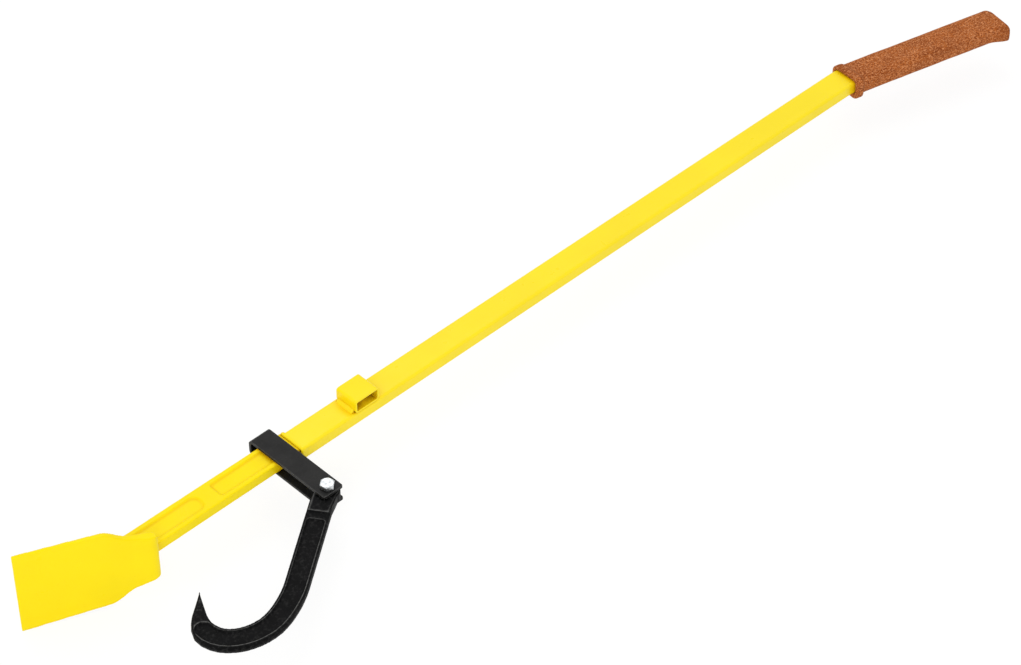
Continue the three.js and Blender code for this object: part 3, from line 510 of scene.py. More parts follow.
def yellow_enamel(
        name, waviness, shine, bore_depth, edge_wear=0.4, crease_reach=0.014, crease_share=1.0):
    """Sprayed enamel: orange peel, ochre painted shade in creases, pockets and bores, ochre thin paint on
    edges, and a few chips down to the steel.
    """
    tone = colours()
    finish = Finish(name, {"Specular IOR Level": shine})
    edge = finish.edges(0.0011, 0.10, 0.42)
    thin = finish.times(edge, finish.remap(finish.grain(230, 4), 0.38, 0.62))
    cloud = finish.remap(finish.grain(14, 2), 0.35, 0.65)
    paint = finish.mix(cloud, toned(tone.yellow, 0.975), toned(tone.yellow, 1.02))
    clear = finish.openness(crease_reach)
    place = finish.shade("SeparateXYZ", {"Vector": finish.place}, None)
    # Painted shade in creases: the enamel darkens where little is open round a point, fading out near the
    # floor.
    shade_share = finish.times(finish.remap(clear, 0.88, 0.42), finish.remap(place["Z"], 0.008, 0.024))
    patch = finish.remap(finish.grain(110), 0.35, 0.65, 0.65 * crease_share, crease_share)
    creased = finish.mix(finish.times(shade_share, patch), paint, tone.shaded_yellow)
    # Painted shade in sunken creases, strongest on the far side of the shank's pockets.
    pocket_shade = finish.times(
        finish.remap(finish.attribute("relief"), -0.15, -0.9, 0.0, 0.3),
        finish.remap(place["Y"], 0.066, 0.075, 0.3, 1.0))
    sunk = finish.mix(pocket_shade, creased, tone.shaded_yellow)
    # Painted shade: the enamel turns brown deep in bores, where little is open round a point.
    shaded = finish.mix(finish.remap(clear, 3 * bore_depth, bore_depth), sunk, tone.bore_shade_brown)
    speck = finish.remap(finish.grain(420, 2), 0.66, 0.80, 0, 0.25)
    dusty = finish.mix(speck, shaded, tone.thin_yellow)
    edged = finish.mix(finish.times(thin, edge_wear), dusty, tone.thin_yellow)
    chip = finish.times(edge, finish.remap(finish.grain(150), 0.68, 0.71))
    return finish.finished(
        finish.mix(chip, edged, tone.bare_steel),
        finish.remap(finish.grain(60), 0.3, 0.7, 0.27, 0.40),
        (finish.grain(45), 0.5 * waviness, 0.0008),
        (finish.grain(520, 2), 0.35, 0.00008),
        (chip, -0.5, 0.0001))


def black_paint(name, base, coarse, shine, edge_wear_and_highlight, edge_reach):
    """Satin black paint: scale under it, dust specks, edges and crests turned grey as rubbed wear and
    painted highlight, and painted shade in tight spots and low down.
    """
    wear_dust_highlight_grey = colours().wear_dust_highlight_grey
    finish = Finish(name, {"Specular IOR Level": shine})
    scale = finish.grain(340, 5, 0.62)
    edge = finish.times(finish.edges(edge_reach, 0.03, 0.16), edge_wear_and_highlight)
    # Painted highlight and wear: edges and relief crests are mixed towards grey.
    grey_edges_and_crests = finish.maths("MAXIMUM", edge, finish.remap(finish.attribute("relief"), 0.06, 0.50))
    height = finish.shade("SeparateXYZ", {"Vector": finish.place}, "Z")
    # Painted shade: the grey on edges and crests fades to a fifth low down, where shade falls.
    upper = finish.times(grey_edges_and_crests, finish.remap(height, 0.044, 0.054, 0.2, 1.0))
    wear_and_highlight = finish.times(upper, finish.remap(scale, 0.34, 0.60, 0.35, 1.0))
    open_paint = finish.mix(finish.remap(finish.grain(60), 0.3, 0.7), base, toned(base, 2.0))
    # Painted shade: the black darkens further where little is open round a point.
    shade_share = finish.remap(finish.openness(0.012), 0.75, 0.30)
    paint = finish.mix(shade_share, open_paint, toned(base, 0.25))
    dusty = finish.mix(finish.remap(scale, 0.50, 0.74, 0, 0.15 * coarse), paint, wear_dust_highlight_grey)
    return finish.finished(
        finish.mix(wear_and_highlight, dusty, wear_dust_highlight_grey),
        finish.remap(scale, 0.3, 0.7, 0.30, 0.50),
        (finish.grain(110, 4), 0.5 * coarse, 0.0006),
        (scale, 0.55 * coarse, 0.0003))


def bright_zinc():
    """Bright plated steel with clouded patches and fine drawing marks."""
    finish = Finish("bright_zinc_plate", {"Metallic": 1.0})
    cloud = finish.remap(finish.grain(260, 4), 0.35, 0.70)
    return finish.finished(
        finish.mix(cloud, colours().zinc, colours().dull_zinc),
        finish.remap(cloud, 0, 1, 0.22, 0.40),
        (finish.grain(1500), 0.3, 0.00005))


def blue_nylon():
    """Moulded nylon of the locking ring."""
    finish = Finish("blue_nylon_ring", {})
    fine = finish.grain(900)
    return finish.finished(
        finish.mix(fine, toned(colours().nylon, 0.7), colours().nylon),
        finish.remap(fine, 0.3, 0.7, 0.38, 0.52),
        (fine, 0.3, 0.00005))


def black_plastic():
    """Fine spark-eroded grain of a moulded plug."""
    finish = Finish("black_plastic_moulded", {"Specular IOR Level": 0.45})
    fine = finish.grain(1600)
    patch = finish.remap(finish.grain(90), 0.35, 0.7)
    return finish.finished(
        finish.mix(patch, colours().plastic, toned(colours().plastic, 2.4)),
        finish.remap(fine, 0.3, 0.7, 0.48, 0.64),
        (fine, 0.45, 0.00008))


def split_leather():
    """Fibrous split leather: mottled browns, short raised fibres along the grip, painted shade in folds and
    grooves, and a dark seam.
    """
    tone = colours()
    finish = Finish("orange_leather_split", {
        "Sheen Weight": 0.12, "Sheen Roughness": 0.5, "Sheen Tint": (1.0, 0.62, 0.34, 1.0),
        "Specular IOR Level": 0.10})
    along = finish.shade("Mapping", {
        "Vector": finish.place, "Rotation": (0.0, 0.0, sizes().bend_angle), "Scale": (0.6, 1.0, 1.0)})
    mottle = finish.grain(60, 3, 0.6)
    fibre = finish.grain(620, 3, 0.7, along)
    nap = finish.grain(900, 2, 0.6, along)
    body = finish.mix(finish.remap(mottle, 0.32, 0.62, 0.35, 1.15), tone.dark_leather, tone.leather)
    lifted = finish.mix(finish.remap(fibre, 0.46, 0.62), body, tone.pale_leather)
    napped = finish.mix(finish.remap(nap, 0.38, 0.53, 1.0, 0.0), lifted, tone.dark_leather)
    # Painted shade in the sleeve's folds and grooves, and its dark seam.
    shaded_folds_and_seam = finish.times(finish.attribute("fold_shade_and_seam"), 0.8)
    return finish.finished(
        finish.mix(shaded_folds_and_seam, napped, tone.dark_leather),
        finish.remap(fibre, 0.3, 0.7, 0.78, 0.95),
        (mottle, 0.5, 0.0008), (fibre, 0.8, 0.0005), (nap, 0.5, 0.0002))


def waxed_thread():
    """Twisted waxed thread."""
    finish = Finish("waxed_thread", {})
    fine = finish.grain(2400, 2)
    return finish.finished(
        finish.mix(fine, toned(colours().thread, 0.6), colours().thread), 0.6, (fine, 0.5, 0.0001))


# Forgings

def mark_relief(mesh, hollow_middle=None):
    """Keep on each point of the broad sides how far it stands proud of its smoothed surroundings.

    It is above 0 on a crest and below 0 in a crease. On a hook, crests near the root and on the hollow side
    get less of the grey, which is rubbed wear and painted highlight, than those of the bow.
    """
    full_relief = 0.00028
    parting_reach = 0.0040
    count = len(mesh.vertices)
    points = np.empty(count * 3)
    normals = np.empty(count * 3)
    ends = np.empty(len(mesh.edges) * 2, dtype=np.int32)
    mesh.vertices.foreach_get("co", points)
    mesh.vertices.foreach_get("normal", normals)
    mesh.edges.foreach_get("vertices", ends)
    points = points.reshape(-1, 3)
    normals = normals.reshape(-1, 3)
    first, second = ends.reshape(-1, 2).T
    neighbours = np.bincount(ends, minlength=count)[:, None]

    def averaged(values, times):
        for _ in range(times):
            total = np.zeros_like(values)
            np.add.at(total, first, values[second])
            np.add.at(total, second, values[first])
            values = total / neighbours
        return values

    def ramp(values, width):
        return np.clip(values / width, 0.0, 1.0)

    proud = ((points - averaged(points, 12)) * normals).sum(axis=1) / full_relief
    upright = np.abs(normals[:, 2:3])
    broad = ramp(upright[:, 0] - 0.7, 0.25)
    middle = (points[:, 2:3].min() + points[:, 2:3].max()) / 2
    on_side = (upright < 0.35) & (np.abs(points[:, 2:3] - middle) < parting_reach)
    broad *= 1 - ramp(averaged(on_side.astype(float), 10)[:, 0], 0.03)
    # On a hook, the painted highlight on crests is weighted by which way they face and how far they are
    # from the root.
    if hollow_middle is not None:
        toward = np.array(hollow_middle)[:2] - points[:, :2]
        toward /= np.linalg.norm(toward, axis=1)[:, None]
        facing_away = -(toward * normals[:, :2]).sum(axis=1)
        proud *= 1 - 0.75 * ramp(facing_away, 0.15)
        from_root = np.linalg.norm(points[:, :2] - np.array(PIVOT)[:2], axis=1)
        proud *= 0.35 + 0.65 * ramp(from_root - 0.03, 0.09)
    layer = mesh.attributes.new("relief", "FLOAT", "POINT")
    layer.data.foreach_set("value", np.clip(proud * broad, -1.0, 1.0).astype(np.float32))


def forge(node, name, facet, into_weld=0.0, hollow_middle=None):
    """Fuse a CAD solid into fine facets, round its edges by as much, and give it hammered waves.

    The end that a weld covers may run a little into it.
    """
    piece = merged_copy(node, name)
    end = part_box(node)[1].x
    for vertex in piece.data.vertices:
        if vertex.co.x > end - MERGE_DISTANCE:
            vertex.co.x += into_weld
    remesh = piece.modifiers.new("Fuse", "REMESH")
    remesh.mode = "VOXEL"
    remesh.voxel_size = facet
    for label, factor in (("Soften", 0.5), ("Swell back", -0.52)) * 3:
        smooth = piece.modifiers.new(label, "SMOOTH")
        smooth.factor = factor
        smooth.iterations = 1
    make_real(piece)
    mark_relief(piece.data, hollow_middle)
    height = sizes().forging_unevenness
    broad_waves, fine_waves = 90, 260
    normals = [vertex.normal.copy() for vertex in piece.data.vertices]
    for vertex, normal in zip(piece.data.vertices, normals):
        wave = noise.noise(vertex.co * broad_waves) + 0.5 * noise.noise(vertex.co * fine_waves)
        vertex.co += normal * height * wave
    smooth_all(piece)
    return piece


class MakeBladeForging(Operator):
    """Make the blade, neck, heel and shank, forged in one."""

    bl_idname = "felling_lever.blade_forging"
    bl_label = "Blade forging"

    def execute(self, context):
        piece = forge("blade_forging", "blade_and_shank", sizes().forging_grain, sizes().into_weld)
        dress(piece, "lever", ["blade_forging"], yellow_enamel(
            "yellow_enamel_forged", waviness=1.0, shine=0.10, bore_depth=0.04,
            edge_wear=0.50, crease_reach=0.020))
        return {"FINISHED"}


class MakeHookForging(Operator):
    """Make the drop-forged hook."""

    bl_idname = "felling_lever.hook_forging"
    bl_label = "Hook forging"

    def execute(self, context):
        low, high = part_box("hook_forging")
        # Middle of the hook's hollow, from which the painted highlight on crests is weighted.
        from_low_end, from_high_side = 0.11, 0.02
        hollow_middle = Vector((low.x + from_low_end, high.y - from_high_side, 0))
        piece = forge("hook_forging", "turning_hook", sizes().hook_grain, hollow_middle=hollow_middle)
        dress(piece, "hook", ["hook_forging"], black_paint(
            "black_paint_forged", colours().black, coarse=1.0, shine=0.040,
            edge_wear_and_highlight=0.03, edge_reach=0.0010))
        return {"FINISHED"}


# Tube and welds

def tube_tree(material):
    """Sweep the tube's section along its centre line, and cut the bore with a longer sweep."""
    tree = ShapingTree("Swept tube", ("Width", "Height", "Corner", "Wall", "Overrun"))
    given = tree.given
    line = tree.shape("MeshToCurve", {"Mesh": given["Geometry"]})
    centre = tree.shape("SetCurveNormal", {"Curve": line}, mode="Z_UP")
    whole = tree.shape("CurveLength", {"Curve": centre})
    tube_end = tree.maths("SUBTRACT", whole, given["Overrun"])
    tube_line = tree.shape("TrimCurve", {
        "Curve": centre, TRIM_START: given["Overrun"], TRIM_END: tube_end}, mode="LENGTH")

    def swept(along, inset):
        def inner(label, sides):
            return tree.maths("SUBTRACT", given[label], tree.times(inset, sides))

        outline = tree.shape("CurvePrimitiveQuadrilateral", {
            "Width": inner("Width", 2.0), "Height": inner("Height", 2.0)})
        return tree.sweep(along, tree.shape("FilletCurve", {
            "Curve": outline, "Count": 8, "Radius": inner("Corner", 1.0)}, mode="POLY"))

    cut = tree.shape("MeshBoolean", {
        "Mesh 1": swept(tube_line, 0.0), "Mesh 2": swept(centre, given["Wall"])},
        operation="DIFFERENCE", solver="EXACT")
    return tree.end(cut, material)


class MakeLeverTube(Operator):
    """Make the bent rectangular tube."""

    bl_idname = "felling_lever.lever_tube"
    bl_label = "Lever tube"

    def execute(self, context):
        size = sizes()
        overrun = 0.003
        steps = 16
        reach = size.bend_radius * math.tan(size.bend_angle / 2)
        bend = [-reach + 2 * reach * i / steps for i in range(steps + 1)]
        lengths = [-size.bend_from_start - size.into_weld - overrun] + bend + [size.grip_tube + overrun]
        material = yellow_enamel(
            "yellow_enamel_tube", waviness=0.15, shine=0.30, bore_depth=0.06, crease_share=0.9)
        path = [on_section(length, 0, 0) for length in lengths]
        piece = tube_tree(material).run("bent_lever_tube", path, {
            "Width": size.tube_width, "Height": size.tube_height, "Corner": size.tube_corner,
            "Wall": size.tube_wall, "Overrun": overrun})
        round_edges(piece, size.edge_round * 0.6)
        dress(piece, "lever", ["lever_tube"], material)
        return {"FINISHED"}


class MakeStopSocket(Operator):
    """Make the short open piece of tube on the lever's broad side."""

    bl_idname = "felling_lever.stop_socket"
    bl_label = "Stop socket"

    def execute(self, context):
        piece = merged_copy("stop_socket", "open_stop_socket")
        round_edges(piece, sizes().edge_round * 0.7)
        dress(piece, "lever", ["stop_socket"], yellow_enamel(
            "yellow_enamel_socket", waviness=0.15, shine=0.20, bore_depth=0.20))
        return {"FINISHED"}


def bead_tree(material):
    """Sweep a flattened bead along a path and press a row of bowed ripples into it."""
    tree = ShapingTree("Rippled bead", (
        "Half width", "Half height", "Roll", "Spacing", "Depth", "Bow", "End taper"))
    given = tree.given
    maths, times = tree.maths, tree.times
    path = tree.shape("MeshToCurve", {"Mesh": given["Geometry"]})
    steps_per_ripple = 8.0
    even = tree.shape("ResampleCurve", {
        "Curve": path, "Length": maths("DIVIDE", given["Spacing"], steps_per_ripple)}, mode="LENGTH")
    marked_path = tree.shape("SetCurveNormal", {
        "Curve": even, "Normal": (1.0, 0.0, 0.0)}, mode="FREE")

    def keep(geometry, name, value):
        inputs = {"Geometry": geometry, "Name": name, "Value": value}
        return tree.shape("StoreNamedAttribute", inputs, data_type="FLOAT", domain="POINT")

    def kept(name):
        return tree.shape("InputNamedAttribute", {"Name": name}, data_type="FLOAT")

    along = tree.shape("SplineParameter", output=None)
    marked_path = keep(marked_path, "along", along["Length"])
    marked_path = keep(marked_path, "share", along["Factor"])
    circle = tree.shape("CurvePrimitiveCircle", {"Resolution": 24, "Radius": 1.0})
    circle = keep(circle, "around", tree.shape("SplineParameter", output="Factor"))
    flatness = tree.shade("CombineXYZ", {
        "X": given["Half width"], "Y": given["Half height"], "Z": 1.0})
    flat = tree.shape("Transform", {"Geometry": circle, "Scale": flatness})
    lean = tree.shade("CombineXYZ", {"Z": given["Roll"]})
    bead = tree.sweep(marked_path, tree.shape("Transform", {"Geometry": flat, "Rotation": lean}))

    bowed = times(maths("SINE", times(kept("around"), 2 * math.pi)), given["Bow"])
    turns = maths("DIVIDE", maths("ADD", kept("along"), bowed), given["Spacing"])
    wave = maths("ABSOLUTE", maths("SINE", times(turns, math.pi)))
    valley = maths("SUBTRACT", maths("POWER", wave, 0.6), 1.0)
    uneven = tree.shade("TexNoise", {"Scale": 300.0, "Detail": 2.0}, noise_dimensions="3D")
    rough = maths("SUBTRACT", uneven, 0.6)
    sunk = times(maths("ADD", valley, rough), given["Depth"])
    from_middle = maths("ABSOLUTE", maths("MULTIPLY_ADD", kept("share"), 2.0, -1.0))
    end = times(maths("POWER", from_middle, 8.0), given["End taper"])
    move = tree.shade("VectorMath", {
        0: tree.shape("InputNormal"), "Scale": maths("SUBTRACT", sunk, end)}, operation="SCALE")
    shaped = tree.shape("SetPosition", {"Geometry": bead, "Offset": move})
    return tree.end(shaped, material)


class MakeWelds(Operator):
    """Lay the bead round the shank and the two beads under the socket."""

    bl_idname = "felling_lever.welds"
    bl_label = "Welds"

    def execute(self, context):
        material = yellow_enamel(
            "yellow_enamel_weld", waviness=0.6, shine=0.20, bore_depth=0.02,
            edge_wear=0.3, crease_share=0.45)
        tree = bead_tree(material)
        self.lay_shank_weld(tree, material)
        self.lay_socket_welds(tree, material)
        return {"FINISHED"}

    def lay_shank_weld(self, tree, material):
        """Flat ground bead round the joint of shank and tube."""
        size = sizes()
        toward_grip, sunk = 0.0005, 0.0003
        ground_depth, ground_bow = 0.6, 0.3
        low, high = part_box("butt_weld")
        middle = (low + high) / 2 + Vector((toward_grip, 0, 0))
        inset = size.bead_height + sunk
        half = (high - low) / 2 - Vector((0, inset, inset))
        ring = rounded_ring(half.y, half.z, size.tube_corner - size.bead_height, segments=6)
        belt = [middle + Vector((0, point.x, point.y)) for point, _ in ring]
        piece = tree.run("shank_weld", belt, {
            "Half width": size.bead_width, "Half height": size.bead_height, "Roll": 0.0,
            "Spacing": size.ripple_spacing, "Depth": size.ripple_depth * ground_depth,
            "Bow": size.bead_width * ground_bow, "End taper": 0.0}, closed=True)
        dress(piece, "lever", ["butt_weld"], material)

    def lay_socket_welds(self, tree, material):
        """Flat fillets in the two corners between socket and tube, short of the socket's open end."""
        size = sizes()
        stand_off = size.fillet_height * 0.55
        short_of_mouth = 0.0012
        socket_low, socket_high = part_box("stop_socket")
        for side, name, node in (
                (-1, "socket_weld_near_blade", "socket_weld_blade_side"),
                (1, "socket_weld_near_grip", "socket_weld_grip_side")):
            low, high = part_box(node)
            wall = socket_low.x if side < 0 else socket_high.x
            x = wall + side * stand_off
            z = TUBE_HIGH.z + stand_off
            piece = tree.run(name, [(x, low.y + short_of_mouth, z), (x, high.y, z)], {
                "Half width": size.fillet_width, "Half height": size.fillet_height,
                "Roll": side * math.radians(50), "Spacing": size.ripple_spacing,
                "Depth": size.ripple_depth, "Bow": size.fillet_width * 0.5,
                "End taper": size.fillet_height * 0.5})
            dress(piece, "lever", [node], material)


# Strap, bolt and nut

class MakeLinkStrap(Operator):
    """Make the flat bar bent round the shank."""

    bl_idname = "felling_lever.link_strap"
    bl_label = "Link strap"

    def execute(self, context):
        piece = merged_copy("link_strap", "bent_link_strap")
        round_edges(piece, sizes().edge_round * 1.1, segments=3)
        # The strap's edges take the full grey of rubbed wear and painted highlight.
        dress(piece, "link", ["link_strap"], black_paint(
            "black_paint_bar", colours().bar_black, coarse=0.5, shine=0.13,
            edge_wear_and_highlight=1.0, edge_reach=0.0017))
        return {"FINISHED"}


def turned_piece(name, profile, closed_along, rounding):
    """Skin rings round the pivot; a profile entry is a radius and a height, or gives both for an angle."""
    count = 96
    rings = []
    for entry in profile:
        ring = []
        for k in range(count):
            angle = sizes().hexagon_turn + 2 * math.pi * k / count
            radius, height = entry(angle) if callable(entry) else entry
            x = PIVOT.x + radius * math.cos(angle)
            y = PIVOT.y + radius * math.sin(angle)
            ring.append(Vector((x, y, height)))
        rings.append(ring)
    piece = piece_from_bmesh(name, skin_rings(rings, closed_along))
    round_edges(piece, rounding, angle=math.radians(25))
    return piece


def hexagon_at(height, slope=0.0, rim=0.0):
    """Ring on the hexagon's sides, sunk at the corners where a cone has been turned off."""
    size = sizes()
    sector = math.radians(60)

    def entry(angle):
        lean = (angle - size.hexagon_turn) % sector - sector / 2
        radius = size.hexagon / 2 / math.cos(lean)
        return radius, height - slope * max(0.0, radius - rim)
    return entry


def thread_tree(material):
    """Wind one ridge of the bolt's thread."""
    tree = ShapingTree("Bolt thread", ("Radius", "Pitch", "Turns"), ("Place",))
    given = tree.given
    ridge_radius = tree.times(given["Pitch"], 0.42)
    centre_radius = tree.maths("SUBTRACT", given["Radius"], ridge_radius)
    helix = tree.shape("CurveSpiral", {
        "Resolution": 40, "Rotations": given["Turns"], "Start Radius": centre_radius,
        "End Radius": centre_radius, "Height": tree.times(given["Pitch"], given["Turns"])})
    ridge = tree.shape("CurvePrimitiveCircle", {"Resolution": 6, "Radius": ridge_radius})
    placed = tree.shape("Transform", {
        "Geometry": tree.sweep(helix, ridge), "Translation": given["Place"]})
    return tree.end(placed, material)


class MakePivot(Operator):
    """Make the bolt with its thread, the collar nut and the locking ring."""

    bl_idname = "felling_lever.pivot"
    bl_label = "Pivot bolt and nut"

    def execute(self, context):
        size = sizes()
        zinc = bright_zinc()
        rim = 0.47 * size.hexagon
        slope = 0.45
        play = 0.0003
        chamfer = 0.0007
        sliver = 0.0001
        thread_step = 0.0004
        thread_margin = 0.0009
        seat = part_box("link_strap")[1].z + play
        top = BOLT_HIGH.z
        end = BOLT_LOW.z
        core = size.bolt_radius - size.bolt_pitch * 0.6
        shoulder = NUT_HIGH.z
        bolt = turned_piece("hexagon_bolt", [
            (rim * 0.92, top),
            (rim, top - sliver),
            hexagon_at(top, slope, rim),
            hexagon_at(seat),
            (size.bolt_radius, seat),
            (size.bolt_radius, shoulder),
            (core, shoulder - thread_step),
            (core, end + chamfer),
            (core - chamfer, end),
        ], closed_along=False, rounding=0.0002)
        dress(bolt, "link", ["pivot_bolt"], zinc)

        turns = (shoulder - end - 2 * thread_margin) / size.bolt_pitch
        thread = thread_tree(zinc).run("bolt_thread", [(0, 0, 0)], {
            "Radius": size.bolt_radius, "Pitch": size.bolt_pitch, "Turns": turns,
            "Place": (PIVOT.x, PIVOT.y, end + thread_margin)})
        dress(thread, "link", [], zinc)

        bore = size.bolt_radius + play
        collar_height = 0.002
        lower = NUT_LOW.z + collar_height
        collar = 0.0059
        pocket = RING_HIGH.x - PIVOT.x + 2 * sliver
        lip = 0.0047
        nut = turned_piece("collar_nut", [
            (bore, NUT_HIGH.z),
            hexagon_at(NUT_HIGH.z),
            hexagon_at(lower, -slope, rim),
            (rim, lower),
            (collar, lower - sliver),
            (collar, NUT_LOW.z + chamfer),
            (collar - chamfer, NUT_LOW.z),
            (lip, NUT_LOW.z + sliver),
            (lip, RING_LOW.z - 2 * sliver),
            (pocket, RING_LOW.z - sliver),
            (pocket, RING_HIGH.z + 2 * sliver),
            (bore, RING_HIGH.z + play),
        ], closed_along=True, rounding=0.00018)
        dress(nut, "link", ["pivot_nut"], zinc)

        ring = merged_copy("nut_lock_ring", "nylon_lock_ring")
        round_edges(ring, width=0.00025)
        dress(ring, "link", ["nut_lock_ring"], blue_nylon())
        return {"FINISHED"}


# Grip

def collar_share(from_lip, toward_hook):
    """Rise of the near collar's outside: full over the turned cuff, then a short step to the body."""
    cuff, wider_by, step = 0.0060, 0.0030, 0.0045
    return 1 - step_share((from_lip - cuff - wider_by * toward_hook) / step)


def fin_share(from_end, toward_hook):
    """Rise of the far lip, which turns out only on the hook's side."""
    fin_length = 0.020
    return (1 - step_share(from_end / fin_length)) * toward_hook * toward_hook


def cut_length(length, point, toward_hook):
    """Length at which a point lies once both lips are cut askew and the far back corner is round."""
    size = sizes()
    reach = 0.024
    near = 1 - step_share((length - size.sleeve_start) / reach)
    far = 1 - step_share((size.sleeve_end - length) / reach)
    skew = size.lip_skew * (toward_hook - 0.25)
    into_corner = within((point.x - size.tube_width / 2 + size.end_round) / size.end_round)
    cut = size.end_round * (1 - math.sqrt(1 - into_corner ** 2)) * 0.8
    return length + near * skew + far * (size.end_skew * toward_hook - cut)


def sleeve_wall():
    """Outline of the leather's wall along the grip, as lengths and depths from 0 inside to 1 outside."""
    size = sizes()
    start = size.sleeve_start
    end = size.sleeve_end
    half = size.leather / 2
    count = 100
    lengths = [start + half + (end - start - 2 * half) * i / count for i in range(count + 1)]
    outside = [(length, 1.0) for length in lengths]
    inside = [(length, 0.0) for length in lengths[::-1]]

    def lip(centre, direction):
        arc = []
        for i in range(1, 6):
            angle = math.pi / 2 - math.pi * i / 6
            arc.append((centre + direction * half * math.cos(angle), 0.5 + 0.5 * math.sin(angle)))
        return arc

    far = lip(end - half, 1)
    near = lip(start + half, -1)[::-1]
    return outside + far + inside + near


def tent(value, middle, reach):
    """1 at a middle value, falling straight to 0 at a reach from it."""
    return max(0.0, 1 - abs(value - middle) / reach)


def sleeve_point(length, depth, point, out):
    """Place of one leather point, and how dark it is painted there: painted shade in folds, grooves, at the
    collar's foot and on the fin's hook side, and the dark seam.
    """
    groove_depth, seam_depth, sunk_everywhere = 0.0014, 0.0009, 0.0001
    size = sizes()
    toward_hook = within(0.5 - point.x / size.tube_width)
    from_lip = length - size.sleeve_start
    from_end = size.sleeve_end - length
    collar = collar_share(from_lip, toward_hook)
    rise = size.collar_rise * collar * (0.6 + 0.8 * toward_hook) * (0.25 + 0.75 * depth)
    fin = size.fin_rise * fin_share(from_end, toward_hook)
    thickness = size.leather * depth * (1 + 0.25 * collar)
    across = point.x + out.x * (thickness + rise) - fin
    height = point.y + out.y * (thickness + rise)
    seat = cut_length(length, point, toward_hook)
    place = on_section(seat, across, height)
    fold_shade_and_seam = 0.0
    if depth > 0.5:
        waves = sum(noise.noise(place * scale) * wave_height for scale, wave_height in LEATHER_WAVES)
        turned_out = fin / size.fin_rise
        # Painted shade at the collar's foot, in the fin's groove and fold, and on the fin's side towards
        # the hook; the seam is a dark joint.
        collar_foot = tent(from_lip, 0.0100, 0.0022) * 0.8
        groove = tent(height, 0.0052, 0.0022) * turned_out
        shaded_side = 0.45 * max(0.0, -out.x) * turned_out
        fold = tent(-out.x, 0.6, 0.35) * turned_out if out.y > 0 else 0.0
        seam = tent(height, 0.0, 0.0009) if point.x > 0.012 else 0.0
        fold_shade_and_seam = max(collar_foot, groove, shaded_side, fold, seam)
        sunk = groove_depth * groove + seam_depth * seam - 0.5 * waves + sunk_everywhere
        heading = lever_axis(seat)[1]
        outward = Vector((-math.sin(heading) * out.x, math.cos(heading) * out.x, out.y))
        place = place - outward * sunk
    return place, fold_shade_and_seam


class MakeLeatherSleeve(Operator):
    """Make the leather sleeve with its turned lips, and the stitches of its seam."""

    bl_idname = "felling_lever.leather_sleeve"
    bl_label = "Leather sleeve"

    def execute(self, context):
        size = sizes()
        inner = rounded_ring(*(half + SLEEVE_GAP for half in (
            size.tube_width / 2, size.tube_height / 2, size.tube_corner)), segments=6)
        ring = filled_ring(inner, spacing=0.0008)
        rows = [[sleeve_point(length, depth, point, out) for point, out in ring]
                for length, depth in sleeve_wall()]
        places = [[place for place, _ in row] for row in rows]
        marks = [[fold_shade_and_seam for _, fold_shade_and_seam in row] for row in rows]
        sleeve = piece_from_bmesh("leather_grip_sleeve", skin_rings(places, True, marks))
        smooth_all(sleeve)
        dress(sleeve, "lever", ["leather_sleeve"], split_leather())
        self.sew(size)
        return {"FINISHED"}

    def sew(self, size):
        """Two rows of stitches along the seam on the sleeve's back."""
        thread = waxed_thread()
        tree = stitch_tree(thread)
        sunk, half_seam = 0.0002, 0.0028
        clear_of_collar, clear_of_fin = 0.015, 0.008
        across = size.tube_width / 2 + SLEEVE_GAP + size.leather - sunk
        ends = (size.sleeve_start + clear_of_collar, size.sleeve_end - clear_of_fin)
        for name, height in (("upper_stitches", half_seam), ("lower_stitches", -half_seam)):
            piece = tree.run(name, [on_section(length, across, height) for length in ends], {
                "Spacing": size.stitch_spacing, "Length": size.stitch_length, "Radius": size.thread_radius})
            dress(piece, "lever", [], thread)


def stitch_tree(material):
    """Lay short round-ended stitches along a path."""
    tree = ShapingTree("Stitches", ("Spacing", "Length", "Radius"))
    given = tree.given
    path = tree.shape("MeshToCurve", {"Mesh": given["Geometry"]})
    spots = tree.shape("CurveToPoints", {
        "Curve": path, "Length": given["Spacing"]}, None, mode="LENGTH")
    bead = tree.shape("MeshUVSphere", {"Segments": 10, "Rings": 8, "Radius": 1.0})
    scale = tree.shade("CombineXYZ", {
        "X": given["Radius"], "Y": given["Radius"], "Z": tree.times(given["Length"], 0.5)})
    laid = tree.shape("InstanceOnPoints", {
        "Points": spots["Points"], "Instance": bead, "Rotation": spots["Rotation"], "Scale": scale})
    return tree.end(laid, material)


class MakeTubeEndPlug(Operator):
    """Make the plastic plug in the tube's open end."""

    bl_idname = "felling_lever.tube_end_plug"
    bl_label = "Tube end plug"

    def execute(self, context):
        piece = merged_copy("tube_end_plug", "moulded_end_plug")
        round_edges(piece, width=0.0003)
        dress(piece, "lever", ["tube_end_plug"], black_plastic())
        return {"FINISHED"}


# Stage

def seen_directly(tree):
    """1 for rays that show the background itself: camera, glossy and transmission rays."""
    rays = tree.shade("LightPath", output=None)
    some = tree.maths("MAXIMUM", rays["Is Camera Ray"], rays["Is Glossy Ray"])
    return tree.maths("MAXIMUM", some, rays["Is Transmission Ray"])


def stage_floor(stage):
    """Pale floor under the lever, near white to the camera but for the lever's own shadow."""
    bm = bmesh.new()
    bmesh.ops.create_grid(bm, x_segments=1, y_segments=1, size=sizes().floor_size / 2)
    floor = piece_from_bmesh("pale_floor", bm)
    material = bpy.data.materials.new("pale_floor")
    tree = NodeBuilder(emptied_tree(material))
    matt = tree.shade("BsdfDiffuse", {"Color": rgba(colours().floor)})
    white = tree.shade("Emission", {"Color": WHITE, "Strength": stage.glow})
    share = tree.times(seen_directly(tree), 1 - stage.shadow)
    surface = tree.shade("MixShader", {0: share, 1: matt, 2: white})
    tree.shade("OutputMaterial", {"Surface": surface}, None)
    floor.data.materials.append(material)


